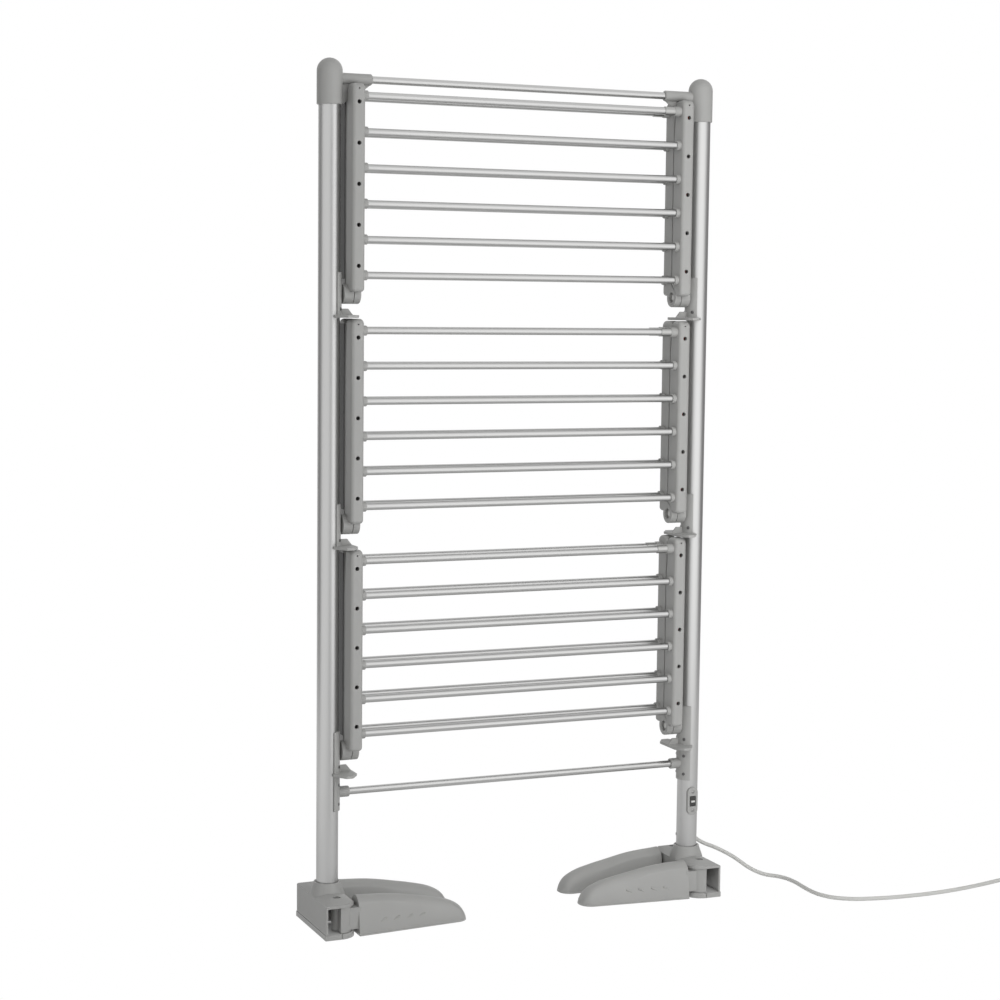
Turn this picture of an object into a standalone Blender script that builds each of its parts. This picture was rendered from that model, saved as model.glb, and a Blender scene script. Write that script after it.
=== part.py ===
"""A folding heated clothes airer: two posts in feet, and three tiers of hinged wings made of heated tubes.

Units are metres. +Z is up, +X runs along the tubes and the switch faces -Y. The origin is on the floor,
midway between the posts. It is modelled folded: the wings stand up against the posts and the legs are
turned in along the width. Pieces of the left side are mirrored from the right side.
"""

import math

import bmesh
import bpy
import numpy as np
from mathutils import Matrix, Vector

# Fits shared by all pieces
FIT = 0.00035
OVERRUN = 0.002

# Posts and the heights that the tiers follow
POST_SPACING = 0.672
POST_RADIUS = 0.018
POST_WALL = 0.0015
POST_SIDES = 16
TIER_NAMES = ("bottom", "middle", "top")
BOTTOM_PIVOT_Z = 0.295
TIER_PITCH = 0.375

# Wings
RAIL_WIDTH = 0.021
RAIL_DEPTH = 0.0319
RAIL_SIDE_GAP = 0.0085
RAIL_BOTTOM_RISE = 0.003
RAIL_TOP_FILLET = 0.010
RAIL_BOTTOM_FILLET = 0.008
RAIL_EDGE_ROUND = 0.0045
RAIL_FILLET_STEPS = 2
EDGE_ROUND_SEGMENTS = 2
EDGE_ROUND_PROFILE_SHARE = 0.5
WING_HALF_GAP = 0.0016
WING_TOP_GAP = 0.0015
ROD_COUNT = 6
ROD_RADIUS = 0.006
ROD_WALL = 0.001
ROD_SIDES = 6
ROD_FROM_PIVOT = 0.0203
FIRST_ROD_RISE = 0.030
LAST_ROD_DROP = 0.019
ROD_SOCKET_DEPTH = 0.013
RAIL_CAVITY_WALL = 0.0025
RAIL_CAVITY_START = 0.007
RAIL_CAVITY_HALF_DEPTH = 0.0070
STRIP_THICKNESS = 0.002
STRIP_HALF_DEPTH = 0.003
HEATER_TURN_THICKNESS = 0.003
HEATER_SIDES = 3
BOSS_RADIUS = 0.00825
BOSS_LENGTH = 0.007
SLEEVE_BOSS_LENGTH = 0.012
SLEEVE_RADIUS = 0.0073
SLEEVE_LENGTH = 0.0185

# Hinges between the wings and the brackets
KNUCKLE_RADIUS = 0.0164
KNUCKLE_SIDES = 12
KNUCKLE_CLEARANCE = 0.0006
KNUCKLE_SET_BACK = 0.0002
KNUCKLE_END_GAP = 0.0005
INNER_KNUCKLE_WIDTH = 0.0116
PIN_RADIUS = 0.004
PIN_SIDES = 8
PIN_HEAD_RADIUS = 0.006
PIN_HEAD_THICKNESS = 0.0017
PIN_RECESS_RADIUS = 0.007
PIN_RECESS_DEPTH = 0.0024
PIN_REACH_IN_POST = 0.006

# Wing brackets
SADDLE_WALL = 0.0022
SADDLE_TOP_RISE = 0.0344
SADDLE_HALF_ANGLE = math.radians(64)
SADDLE_STEPS = 7
LONG_SADDLE_HALF_ANGLE = math.radians(74)
LONG_SADDLE_DROP = 0.098
SHELF_DROP = 0.034
SHELF_THICKNESS = 0.0045
SHELF_TIP_INSET = 0.008
SHELF_TIP_HALF_WIDTH = 0.027
SHELF_SLANT_LENGTH = 0.0115
SHELF_HALF_WIDTH = 0.044
SHELF_CORNER_FROM_POST = 0.018
SHELF_BACK_FROM_POST = 0.003
SHELF_BACK_HALF_WIDTH = 0.022
WEB_RISE = 0.010
WEB_HALF_THICKNESS = 0.0018
WEB_SLOPE_START = 0.0325

# Caps and the rail between them
TOP_RAIL_RISE = 0.0082
CAP_WALL = 0.0025
CAP_TOP_RISE = 0.0318
CAP_BOTTOM_DROP = 0.0422
CAP_DOME_STEPS = 4
CAP_BORE_RISE = 0.0103
POST_TOP_GAP = 0.001
ARM_RADIUS = 0.009
ARM_CHAMFER = 0.0015
ARM_LENGTH = 0.071
ARM_SIDES = 12
TOP_RAIL_RADIUS = 0.006
TOP_RAIL_WALL = 0.001
TOP_RAIL_SIDES = 12
TOP_RAIL_SOCKET = 0.049
CAP_WEB_HALF_THICKNESS = 0.0012
CAP_WEB_STEP_LENGTH = 0.010
CAP_WEB_STEP_DROP = 0.0158

# Bar near the floor
BOTTOM_BAR_DROP = 0.069
COLLAR_RADIUS = 0.00915
COLLAR_LENGTH = 0.016
COLLAR_BORE_DEPTH = 0.0165

# Feet
LUG_RADIUS = 0.0275
LUG_STEPS = 4
LEG_PIVOT_Y = 0.050
BASE_THICKNESS = 0.009
BASE_LIP = 0.001
FOOT_EDGE_HEIGHT = 0.055
FOOT_RIDGE_HEIGHT = 0.063
FOOT_WALL = 0.0022
ROOF_WALL = 0.0025
ROOF_STEPS = 4
POCKET_HEIGHT = 0.052
POCKET_LIP = 0.0015
POCKET_BACK_GAP = 0.001
BOSS_TOP_HEIGHT = 0.078
BOSS_TOP_RADIUS = 0.0225
BOSS_FOOT_RADIUS = 0.029
SOCKET_RING_GAP = 0.0009
SPIGOT_HEIGHT = 0.012

# Legs and their pivot pins
LEG_LENGTH = 0.198
LEG_ROOT_GAP = 0.0045
LEG_ROOT_HEIGHT = 0.064
LEG_ROOT_HALF_WIDTH = 0.0238
LEG_NOSE_RADIUS = 0.020
LEG_NOSE_DRIFT = 0.008
LEG_ROOT_CLEARANCE = 0.001
LEG_NOSE_CLEARANCE = 0.003
LEG_RIDGE_WIDTH_SHARE = 0.72
LEG_CROWN_WIDTH_SHARE = 0.36
LEG_CROWN_RISE_SHARE = 0.72
# Along the leg's length: the crest's height and the side ridge's, as shares of the root's height
LEG_STATION_SHARES = (
    (0.0, 1.0, 0.85),
    (0.30, 0.938, 0.80),
    (0.57, 0.797, 0.60),
    (0.68, 0.727, 0.52),
    (0.80, 0.633, 0.44),
    (0.88, 0.531, 0.36),
    (0.935, 0.42, 0.27),
    (0.97, 0.28, 0.18),
    (0.995, 0.12, 0.08),
)
LEG_KNUCKLE_WALL_GAP = 0.0005
LEG_KNUCKLE_FLANK = 0.001
LEG_KNUCKLE_BASE_GAP = 0.0005
LEG_KNUCKLE_TOP_GAP = 0.001
LEG_HUB_RADIUS = 0.009
LEG_NECK_HALF_WIDTH = 0.0115
LEG_NECK_INSET = 0.003
LEG_PIN_RECESS_RADIUS = 0.0075
LEG_PIN_RECESS_DEPTH = 0.0024
LEG_PIN_BASE_DEPTH = 0.0055

# Switch on the front of the right post
SWITCH_HEIGHT = 0.160
SWITCH_PLATE_WIDTH = 0.020
SWITCH_PLATE_HEIGHT = 0.050
SWITCH_FACE_FROM_POST = 0.0037
SWITCH_SIDE_DEPTH = 0.0087
SWITCH_END_STEPS = 5
ROCKER_WIDTH = 0.0116
ROCKER_RADIUS = 0.0089
ROCKER_WINDOW_GAP = 0.0004
ROCKER_AXIS_INSET = 0.0023
ROCKER_RIDGE_RISE = 0.0009
ROCKER_REST_TILT = math.radians(7)
ROCKER_ARC_STEPS = 8
SWITCH_BODY_HALF_WIDTH = 0.0075
SWITCH_BODY_HALF_HEIGHT = 0.0125
SWITCH_BODY_DEPTH = 0.022

# Supply cord, with its strain relief at the back of the right post, turned away from the leg
CORD_RADIUS = 0.0035
CORD_EXIT_ABOVE_BOSS = 0.009
CORD_EXIT_TURN = math.radians(30)
BUSH_NECK_RADIUS = 0.005
BUSH_NECK_LENGTH = 0.005
BUSH_FLANGE_RADIUS = 0.008
BUSH_FLANGE_THICKNESS = 0.002
BUSH_TIP_RADIUS = 0.0046
BUSH_LENGTH = 0.0216
CORD_POINT_SPACING = 0.0195
CORD_GAP = 0.0003
# The free stretch from the strain relief to the coil, by hand. Its heights follow the exit's height
CORD_ROUTE = (
    (0.3562, 0.0350, 0.095),
    (0.3610, 0.0433, 0.095),
    (0.3693, 0.0558, 0.0908),
    (0.3790, 0.0636, 0.0807),
    (0.3900, 0.0658, 0.0688),
    (0.4045, 0.0615, 0.0590),
    (0.426, 0.050, 0.050),
    (0.451, 0.035, 0.036),
    (0.476, 0.020, 0.017),
    (0.494, 0.012, 0.0075),
    (0.508, 0.004, 0.0036),
    (0.521, -0.012, 0.0035),
    (0.528, -0.033, 0.0035),
    (0.529, -0.060, 0.0035),
    (0.526, -0.092, 0.0035),
    (0.525, -0.121, 0.0035),
    (0.529, -0.144, 0.0035),
    (0.540, -0.165, 0.0035),
    (0.558, -0.180, 0.0035),
    (0.583, -0.191, 0.0035),
    (0.640, -0.202, 0.0035),
    (0.720, -0.205, 0.0035),
    (0.800, -0.196, 0.0035),
    (0.880, -0.178, 0.0035),
    (0.950, -0.160, 0.0035),
    (1.000, -0.1505, 0.0035),
)
COIL_LAYERS = 2
COIL_TURNS_PER_LAYER = 2
COIL_POINTS_PER_TURN = 24
COIL_OUTER_RADIUS = 0.0432
COIL_LOOP_STEP = 0.0079
COIL_LAYER_STEP = 0.0077
COIL_LEAST_GAP = 0.0004
COIL_CLIMB_TURN_SHARE = 0.5
COIL_LEAD_IN = 0.008
COIL_LEAD_OUT = 0.042
PLUG_LENGTH = 0.046
PLUG_WIDTH = 0.050
PLUG_THICKNESS = 0.022
PLUG_CORNER = 0.009
PLUG_CORNER_STEPS = 3
PLUG_EDGE_ROUND = 0.003
PLUG_SLEEVE_RADIUS = 0.0055
PLUG_SLEEVE_LENGTH = 0.018
PLUG_SLEEVE_SIDES = 10
PIN_BLADE_WIDTH = 0.0063
PIN_BLADE_THICKNESS = 0.004
EARTH_BLADE_WIDTH = 0.008
PIN_BLADE_LENGTH = 0.0177
EARTH_BLADE_LENGTH = 0.0227
PIN_BLADE_SPACING = 0.0222
EARTH_BLADE_OFFSET = 0.0222
PIN_BLADE_SET_IN = 0.004

SMOOTH_ANGLE = math.radians(32)
MERGE = 0.000001

# Places that follow from the sizes
POST_X = POST_SPACING / 2
POST_BORE = POST_RADIUS - POST_WALL
POST_CLEARANCE = POST_RADIUS + FIT
SADDLE_RADIUS = POST_CLEARANCE + SADDLE_WALL
RAIL_OUTER_X = POST_X - SADDLE_RADIUS - RAIL_SIDE_GAP
RAIL_INNER_X = RAIL_OUTER_X - RAIL_WIDTH
RAIL_FACE_Y = WING_HALF_GAP + RAIL_DEPTH
RAIL_TOP_RISE = TIER_PITCH - SHELF_DROP - SHELF_THICKNESS - WING_TOP_GAP
ROD_PITCH = (RAIL_TOP_RISE - LAST_ROD_DROP - FIRST_ROD_RISE) / (ROD_COUNT - 1)
ROD_BORE = ROD_RADIUS - ROD_WALL
HEATER_RADIUS = ROD_BORE - FIT
PIVOT_HEIGHTS = tuple(BOTTOM_PIVOT_Z + tier * TIER_PITCH for tier in range(len(TIER_NAMES)))
KNUCKLE_INNER_X = RAIL_INNER_X + KNUCKLE_SET_BACK
KNUCKLE_SPLIT_X = KNUCKLE_INNER_X + INNER_KNUCKLE_WIDTH + FIT
KNUCKLE_OUTER_X = POST_X - SADDLE_RADIUS - KNUCKLE_END_GAP
PIN_BORE = PIN_RADIUS + FIT
CAP_RADIUS = POST_CLEARANCE + CAP_WALL
TOP_RAIL_Z = PIVOT_HEIGHTS[-1] + RAIL_TOP_RISE + TOP_RAIL_RISE
CAP_TOP_Z = TOP_RAIL_Z + CAP_TOP_RISE
CAP_BOTTOM_Z = TOP_RAIL_Z - CAP_BOTTOM_DROP
CAP_BORE_Z = TOP_RAIL_Z + CAP_BORE_RISE
POST_TOP_Z = CAP_BORE_Z - POST_TOP_GAP
POST_BOTTOM_Z = BASE_THICKNESS + FIT
ARM_END_X = POST_X - ARM_LENGTH
BOTTOM_BAR_Z = BOTTOM_PIVOT_Z - BOTTOM_BAR_DROP
COLLAR_END_X = POST_X - SADDLE_RADIUS - COLLAR_LENGTH
FOOT_BOTTOM_Z = BASE_THICKNESS + FIT
LEG_ROOT_X = LUG_RADIUS + LEG_ROOT_GAP
LEG_KNUCKLE_RADIUS = LUG_RADIUS - FOOT_WALL - LEG_KNUCKLE_WALL_GAP
LEG_KNUCKLE_BOTTOM_Z = BASE_THICKNESS + LEG_KNUCKLE_BASE_GAP
LEG_KNUCKLE_TOP_Z = POCKET_HEIGHT - LEG_KNUCKLE_TOP_GAP
SWITCH_FACE_Y = -POST_RADIUS - SWITCH_FACE_FROM_POST
ROCKER_AXIS_Y = SWITCH_FACE_Y + ROCKER_AXIS_INSET
CORD_EXIT_HEIGHT = BOSS_TOP_HEIGHT + CORD_EXIT_ABOVE_BOSS + BUSH_FLANGE_RADIUS
CORD_EXIT_DIRECTION = Vector((math.sin(CORD_EXIT_TURN), math.cos(CORD_EXIT_TURN), 0))
COIL_MIDDLE = Vector((CORD_ROUTE[-1][0], CORD_ROUTE[-1][1] + COIL_OUTER_RADIUS, CORD_RADIUS))


def remove_objects():
    for item in list(bpy.data.objects):
        bpy.data.objects.remove(item, do_unlink=True)


def make_material(name, colour, roughness, metallic):
    material = bpy.data.materials.new(name)
    material.use_nodes = True
    shader = material.node_tree.nodes["Principled BSDF"]
    shader.inputs["Base Color"].default_value = (*colour, 1)
    shader.inputs["Roughness"].default_value = roughness
    shader.inputs["Metallic"].default_value = metallic
    material.diffuse_color = (*colour, 1)
    return material


def mesh_from(bm, face_out=True):
    """Turn a bmesh into a mesh. A shape with a hollow inside already faces the right way."""
    bmesh.ops.remove_doubles(bm, verts=bm.verts, dist=MERGE)
    if face_out:
        bmesh.ops.recalc_face_normals(bm, faces=bm.faces)
    mesh = bpy.data.meshes.new("shape")
    bm.to_mesh(mesh)
    bm.free()
    return mesh


def prism(outline, axis, start, end):
    """Extrude a closed outline along an axis. X takes (y, z) points, Y takes (x, z) and Z takes (x, y)."""
    direction = Vector([letter == axis for letter in "XYZ"])
    first, second = [Vector([letter == other for letter in "XYZ"]) for other in "XYZ" if other != axis]
    bm = bmesh.new()
    corners = [bm.verts.new(first * a + second * b + direction * start) for a, b in outline]
    face = bm.faces.new(corners)
    moved = bmesh.ops.extrude_face_region(bm, geom=[face])["geom"]
    moved = [item for item in moved if isinstance(item, bmesh.types.BMVert)]
    bmesh.ops.translate(bm, verts=moved, vec=direction * (end - start))
    return mesh_from(bm)


def box(low, high):
    (x0, y0, z0), (x1, y1, z1) = low, high
    return prism([(x0, y0), (x1, y0), (x1, y1), (x0, y1)], "Z", z0, z1)


def turned(profile, sides, axis="Z", centre=(0, 0, 0)):
    """Spin a profile of (radius, place along the axis) points. One that starts off the axis is a ring."""
    bm = bmesh.new()
    points = [bm.verts.new((radius, 0, along)) for radius, along in profile]
    edges = [bm.edges.new(pair) for pair in zip(points, points[1:])]
    if profile[0][0] > 0:
        edges.append(bm.edges.new((points[-1], points[0])))
    turn = {"axis": (0, 0, 1), "cent": (0, 0, 0), "angle": math.tau, "steps": sides, "use_merge": True}
    bmesh.ops.spin(bm, geom=points + edges, **turn)
    tilt = {"X": Matrix.Rotation(math.pi / 2, 4, "Y"), "Y": Matrix.Rotation(-math.pi / 2, 4, "X")}
    bm.transform(Matrix.Translation(centre) @ tilt.get(axis, Matrix.Identity(4)))
    return mesh_from(bm)


def rod(radius, start, end, sides, axis="Z", centre=(0, 0, 0)):
    return turned([(0, start), (radius, start), (radius, end), (0, end)], sides, axis, centre)


def tube(radius, bore, start, end, sides, axis="Z", centre=(0, 0, 0)):
    return turned([(bore, start), (radius, start), (radius, end), (bore, end)], sides, axis, centre)


def arc(centre, radius, start, end, steps):
    """Points on an arc, both ends included."""
    angles = [start + (end - start) * step / steps for step in range(steps + 1)]
    return [(centre[0] + radius * math.cos(angle), centre[1] + radius * math.sin(angle)) for angle in angles]


def rounded(corners, radii, steps):
    """A closed outline whose square corners are replaced by arcs. Corners run anticlockwise."""
    outline = []
    for index, (corner, radius) in enumerate(zip(corners, radii)):
        if radius == 0:
            outline.append(corner)
            continue
        here = Vector(corner)
        before = (Vector(corners[index - 1]) - here).normalized()
        after = (Vector(corners[(index + 1) % len(corners)]) - here).normalized()
        middle = here + (before + after) * radius
        start = math.atan2(-after.y, -after.x)
        outline += arc(middle, radius, start, start + math.pi / 2, steps)
    return outline


def grouped(meshes):
    """Several solids that lie clear of each other in one mesh, for a single Boolean."""
    bm = bmesh.new()
    for mesh in meshes:
        bm.from_mesh(mesh)
    return mesh_from(bm)


def mirrored(mesh, flip_x, flip_y):
    """A copy mirrored across X, Y or both, with its faces still pointing out."""
    mesh = mesh.copy()
    mesh.transform(Matrix.Diagonal((-1 if flip_x else 1, -1 if flip_y else 1, 1, 1)))
    if flip_x != flip_y:
        mesh.flip_normals()
    return mesh


def combined(base, steps):
    """Apply Booleans in order and merge coincident points after each. A step is (operation, mesh)."""
    for operation, mesh in steps:
        target = bpy.data.objects.new("target", base)
        tool = bpy.data.objects.new("tool", mesh)
        for item in (target, tool):
            bpy.context.collection.objects.link(item)
        modifier = target.modifiers.new("step", "BOOLEAN")
        modifier.operation = operation
        modifier.object = tool
        depsgraph = bpy.context.evaluated_depsgraph_get()
        bm = bmesh.new()
        bm.from_object(target, depsgraph)
        bmesh.ops.dissolve_degenerate(bm, edges=bm.edges, dist=MERGE)
        base = mesh_from(bm, face_out=False)
        for item in (target, tool):
            bpy.data.objects.remove(item)
    return base


def add_node(name, mesh, material, parent=None, location=(0, 0, 0)):
    mesh = mesh.copy()
    mesh.name = name
    mesh.materials.clear()
    mesh.materials.append(material)
    mesh.shade_smooth()
    mesh.set_sharp_from_angle(angle=SMOOTH_ANGLE)
    node = bpy.data.objects.new(name, mesh)
    bpy.context.collection.objects.link(node)
    node.location = location
    node.parent = parent
    return node


def add_pair(name, mesh, material):
    """A right-hand piece of the frame and its mirrored left-hand twin."""
    add_node(f"{name}_right", mesh, material)
    add_node(f"{name}_left", mirrored(mesh, True, False), material)


def post_cutter(radius, low, high):
    return rod(radius, low, high, POST_SIDES, centre=(POST_X, 0, 0))


def exit_turn():
    """Turns a piece that points to +Y so that it points along the cord's exit."""
    return Matrix.Rotation(-CORD_EXIT_TURN, 4, "Z")


def build_posts(material):
    """Two tubes, drilled for the hinge pins. The right one also carries the switch and the cord."""
    plain = tube(POST_RADIUS, POST_BORE, POST_BOTTOM_Z, POST_TOP_Z, POST_SIDES, centre=(POST_X, 0, 0))
    drilled = []
    for height in PIVOT_HEIGHTS:
        pin_hole = rod(PIN_BORE, -POST_RADIUS - OVERRUN, 0, PIN_SIDES, "X", (POST_X, 0, height))
        drilled.append(("DIFFERENCE", pin_hole))
    both = combined(plain, drilled)
    add_node("post_left", mirrored(both, True, False), material)

    half_width = SWITCH_BODY_HALF_WIDTH + FIT
    half_height = SWITCH_BODY_HALF_HEIGHT + FIT
    window = box(
        (POST_X - half_width, -POST_RADIUS - OVERRUN, SWITCH_HEIGHT - half_height),
        (POST_X + half_width, 0, SWITCH_HEIGHT + half_height),
    )
    bush_hole = rod(BUSH_NECK_RADIUS + FIT, 0, POST_RADIUS + OVERRUN, PIN_SIDES, "Y")
    bush_hole.transform(Matrix.Translation((POST_X, 0, CORD_EXIT_HEIGHT)) @ exit_turn())
    cuts = [("DIFFERENCE", window), ("DIFFERENCE", bush_hole)]
    add_node("post_right", combined(both, cuts), material)


def build_caps(material):
    """Domed caps on the posts, each with the arm that holds the top rail and a thin web below it."""
    dome_middle = CAP_TOP_Z - CAP_RADIUS
    dome = arc((0, dome_middle), CAP_RADIUS, math.pi / 2, 0, CAP_DOME_STEPS)
    dome[0] = (0, CAP_TOP_Z)
    shell = turned([*dome, (CAP_RADIUS, CAP_BOTTOM_Z), (0, CAP_BOTTOM_Z)], POST_SIDES, centre=(POST_X, 0, 0))
    arm_profile = [
        (0, ARM_END_X),
        (ARM_RADIUS - ARM_CHAMFER, ARM_END_X),
        (ARM_RADIUS, ARM_END_X + ARM_CHAMFER),
        (ARM_RADIUS, POST_X),
        (0, POST_X),
    ]
    arm = turned(arm_profile, ARM_SIDES, "X", (0, 0, TOP_RAIL_Z))
    web_start = ARM_END_X + ARM_CHAMFER
    web_step_x = ARM_END_X + ARM_CHAMFER + CAP_WEB_STEP_LENGTH
    web_outline = [
        (web_start, TOP_RAIL_Z - ARM_RADIUS + CAP_WEB_HALF_THICKNESS),
        (web_step_x, TOP_RAIL_Z - CAP_WEB_STEP_DROP),
        (POST_X - CAP_RADIUS, CAP_BOTTOM_Z + CAP_WEB_HALF_THICKNESS),
        (POST_X - POST_RADIUS, CAP_BOTTOM_Z + CAP_WEB_HALF_THICKNESS),
        (POST_X - POST_RADIUS, TOP_RAIL_Z),
        (web_start, TOP_RAIL_Z),
    ]
    web = prism(web_outline, "Y", -CAP_WEB_HALF_THICKNESS, CAP_WEB_HALF_THICKNESS)
    rail_bore = rod(
        TOP_RAIL_RADIUS + FIT, -OVERRUN, TOP_RAIL_SOCKET, TOP_RAIL_SIDES, "X", (ARM_END_X, 0, TOP_RAIL_Z)
    )
    cap = combined(
        shell,
        [
            ("UNION", arm),
            ("UNION", web),
            ("DIFFERENCE", post_cutter(POST_CLEARANCE, CAP_BOTTOM_Z - OVERRUN, CAP_BORE_Z)),
            ("DIFFERENCE", rail_bore),
        ],
    )
    add_pair("post_cap", cap, material)


def build_cross_bars(material):
    """The rail between the caps and the bar near the floor."""
    half_rail = ARM_END_X + TOP_RAIL_SOCKET - FIT
    bore = TOP_RAIL_RADIUS - TOP_RAIL_WALL
    rail = tube(TOP_RAIL_RADIUS, bore, -half_rail, half_rail, TOP_RAIL_SIDES, "X", (0, 0, TOP_RAIL_Z))
    add_node("top_rail", rail, material)
    half_bar = COLLAR_END_X + COLLAR_BORE_DEPTH - FIT
    bar = tube(TOP_RAIL_RADIUS, bore, -half_bar, half_bar, TOP_RAIL_SIDES, "X", (0, 0, BOTTOM_BAR_Z))
    add_node("bottom_bar", bar, material)


def build_bracket(tier, material):
    """A half sleeve on the post with a shelf for the opened wings and a web that stiffens the shelf."""
    pivot_z = PIVOT_HEIGHTS[tier]
    shelf_top = pivot_z - SHELF_DROP
    shelf_bottom = shelf_top - SHELF_THICKNESS
    long_saddle = tier == 0
    half_angle = LONG_SADDLE_HALF_ANGLE if long_saddle else SADDLE_HALF_ANGLE
    saddle_bottom = pivot_z - LONG_SADDLE_DROP if long_saddle else shelf_bottom
    slice_outline = arc((POST_X, 0), SADDLE_RADIUS, math.pi - half_angle, math.pi + half_angle, SADDLE_STEPS)
    saddle = prism([*slice_outline, (POST_X, 0)], "Z", saddle_bottom, pivot_z + SADDLE_TOP_RISE)

    tip_x = RAIL_INNER_X + SHELF_TIP_INSET
    right_half = [
        (tip_x, SHELF_TIP_HALF_WIDTH),
        (tip_x + SHELF_SLANT_LENGTH, SHELF_HALF_WIDTH),
        (POST_X - SHELF_CORNER_FROM_POST, SHELF_HALF_WIDTH),
        (POST_X - SHELF_BACK_FROM_POST, SHELF_BACK_HALF_WIDTH),
    ]
    shelf_outline = [*right_half, *[(x, -y) for x, y in reversed(right_half)]]
    shelf = prism(shelf_outline, "Z", shelf_bottom, shelf_top)
    web_outline = [
        (tip_x, shelf_top - SHELF_THICKNESS / 2),
        (POST_X - POST_RADIUS, shelf_top - SHELF_THICKNESS / 2),
        (POST_X - POST_RADIUS, shelf_top + WEB_RISE),
        (POST_X - WEB_SLOPE_START, shelf_top + WEB_RISE),
        (tip_x, shelf_top),
    ]
    web = prism(web_outline, "Y", -WEB_HALF_THICKNESS, WEB_HALF_THICKNESS)
    steps = [("UNION", shelf), ("UNION", web)]
    if long_saddle:
        collar = rod(COLLAR_RADIUS, COLLAR_END_X, POST_X - POST_RADIUS, ARM_SIDES, "X", (0, 0, BOTTOM_BAR_Z))
        bore_centre = (COLLAR_END_X, 0, BOTTOM_BAR_Z)
        bar_bore = rod(TOP_RAIL_RADIUS + FIT, -OVERRUN, COLLAR_BORE_DEPTH, TOP_RAIL_SIDES, "X", bore_centre)
        steps += [("UNION", collar), ("DIFFERENCE", bar_bore)]
    post_low = saddle_bottom - OVERRUN
    post_high = pivot_z + SADDLE_TOP_RISE + OVERRUN
    steps.append(("DIFFERENCE", post_cutter(POST_CLEARANCE, post_low, post_high)))
    pin_hole = rod(PIN_BORE, -SADDLE_RADIUS - OVERRUN, 0, PIN_SIDES, "X", (POST_X, 0, pivot_z))
    steps.append(("DIFFERENCE", pin_hole))
    add_pair(f"{TIER_NAMES[tier]}_bracket", combined(saddle, steps), material)


def build_hinge_pins(material):
    """Each pin's head sits in the inner knuckle's recess, and its tip is inside the post."""
    head_top = KNUCKLE_INNER_X + PIN_RECESS_DEPTH - FIT
    profile = [
        (0, head_top - PIN_HEAD_THICKNESS),
        (PIN_HEAD_RADIUS, head_top - PIN_HEAD_THICKNESS),
        (PIN_HEAD_RADIUS, head_top),
        (PIN_RADIUS, head_top),
        (PIN_RADIUS, POST_X - POST_BORE + PIN_REACH_IN_POST),
        (0, POST_X - POST_BORE + PIN_REACH_IN_POST),
    ]
    for name, height in zip(TIER_NAMES, PIVOT_HEIGHTS):
        add_pair(f"{name}_hinge_pin", turned(profile, PIN_SIDES, "X", (0, 0, height)), material)


def rod_rises():
    return [FIRST_ROD_RISE + index * ROD_PITCH for index in range(ROD_COUNT)]


def rail_body():
    """The rail's rounded bar on the +Y side, before its knuckle, bosses and holes."""
    corners = [
        (WING_HALF_GAP, RAIL_BOTTOM_RISE),
        (RAIL_FACE_Y, RAIL_BOTTOM_RISE),
        (RAIL_FACE_Y, RAIL_TOP_RISE),
        (WING_HALF_GAP, RAIL_TOP_RISE),
    ]
    outline = rounded(corners, (0, RAIL_BOTTOM_FILLET, RAIL_TOP_FILLET, RAIL_TOP_FILLET), RAIL_FILLET_STEPS)
    bm = bmesh.new()
    bm.from_mesh(prism(outline, "X", RAIL_INNER_X, RAIL_OUTER_X))
    on_end = [edge for edge in bm.edges if abs(edge.verts[0].co.x - edge.verts[1].co.x) < MERGE]
    outer_edges = [edge for edge in on_end if max(vert.co.y for vert in edge.verts) > WING_HALF_GAP + MERGE]
    low_z = RAIL_BOTTOM_RISE + MERGE
    outer_edges = [edge for edge in outer_edges if max(vert.co.z for vert in edge.verts) > low_z]
    bmesh.ops.bevel(
        bm,
        geom=outer_edges,
        offset=RAIL_EDGE_ROUND,
        offset_type="OFFSET",
        segments=EDGE_ROUND_SEGMENTS,
        profile=EDGE_ROUND_PROFILE_SHARE,
        affect="EDGES",
        clamp_overlap=True,
    )
    return mesh_from(bm)


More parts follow.
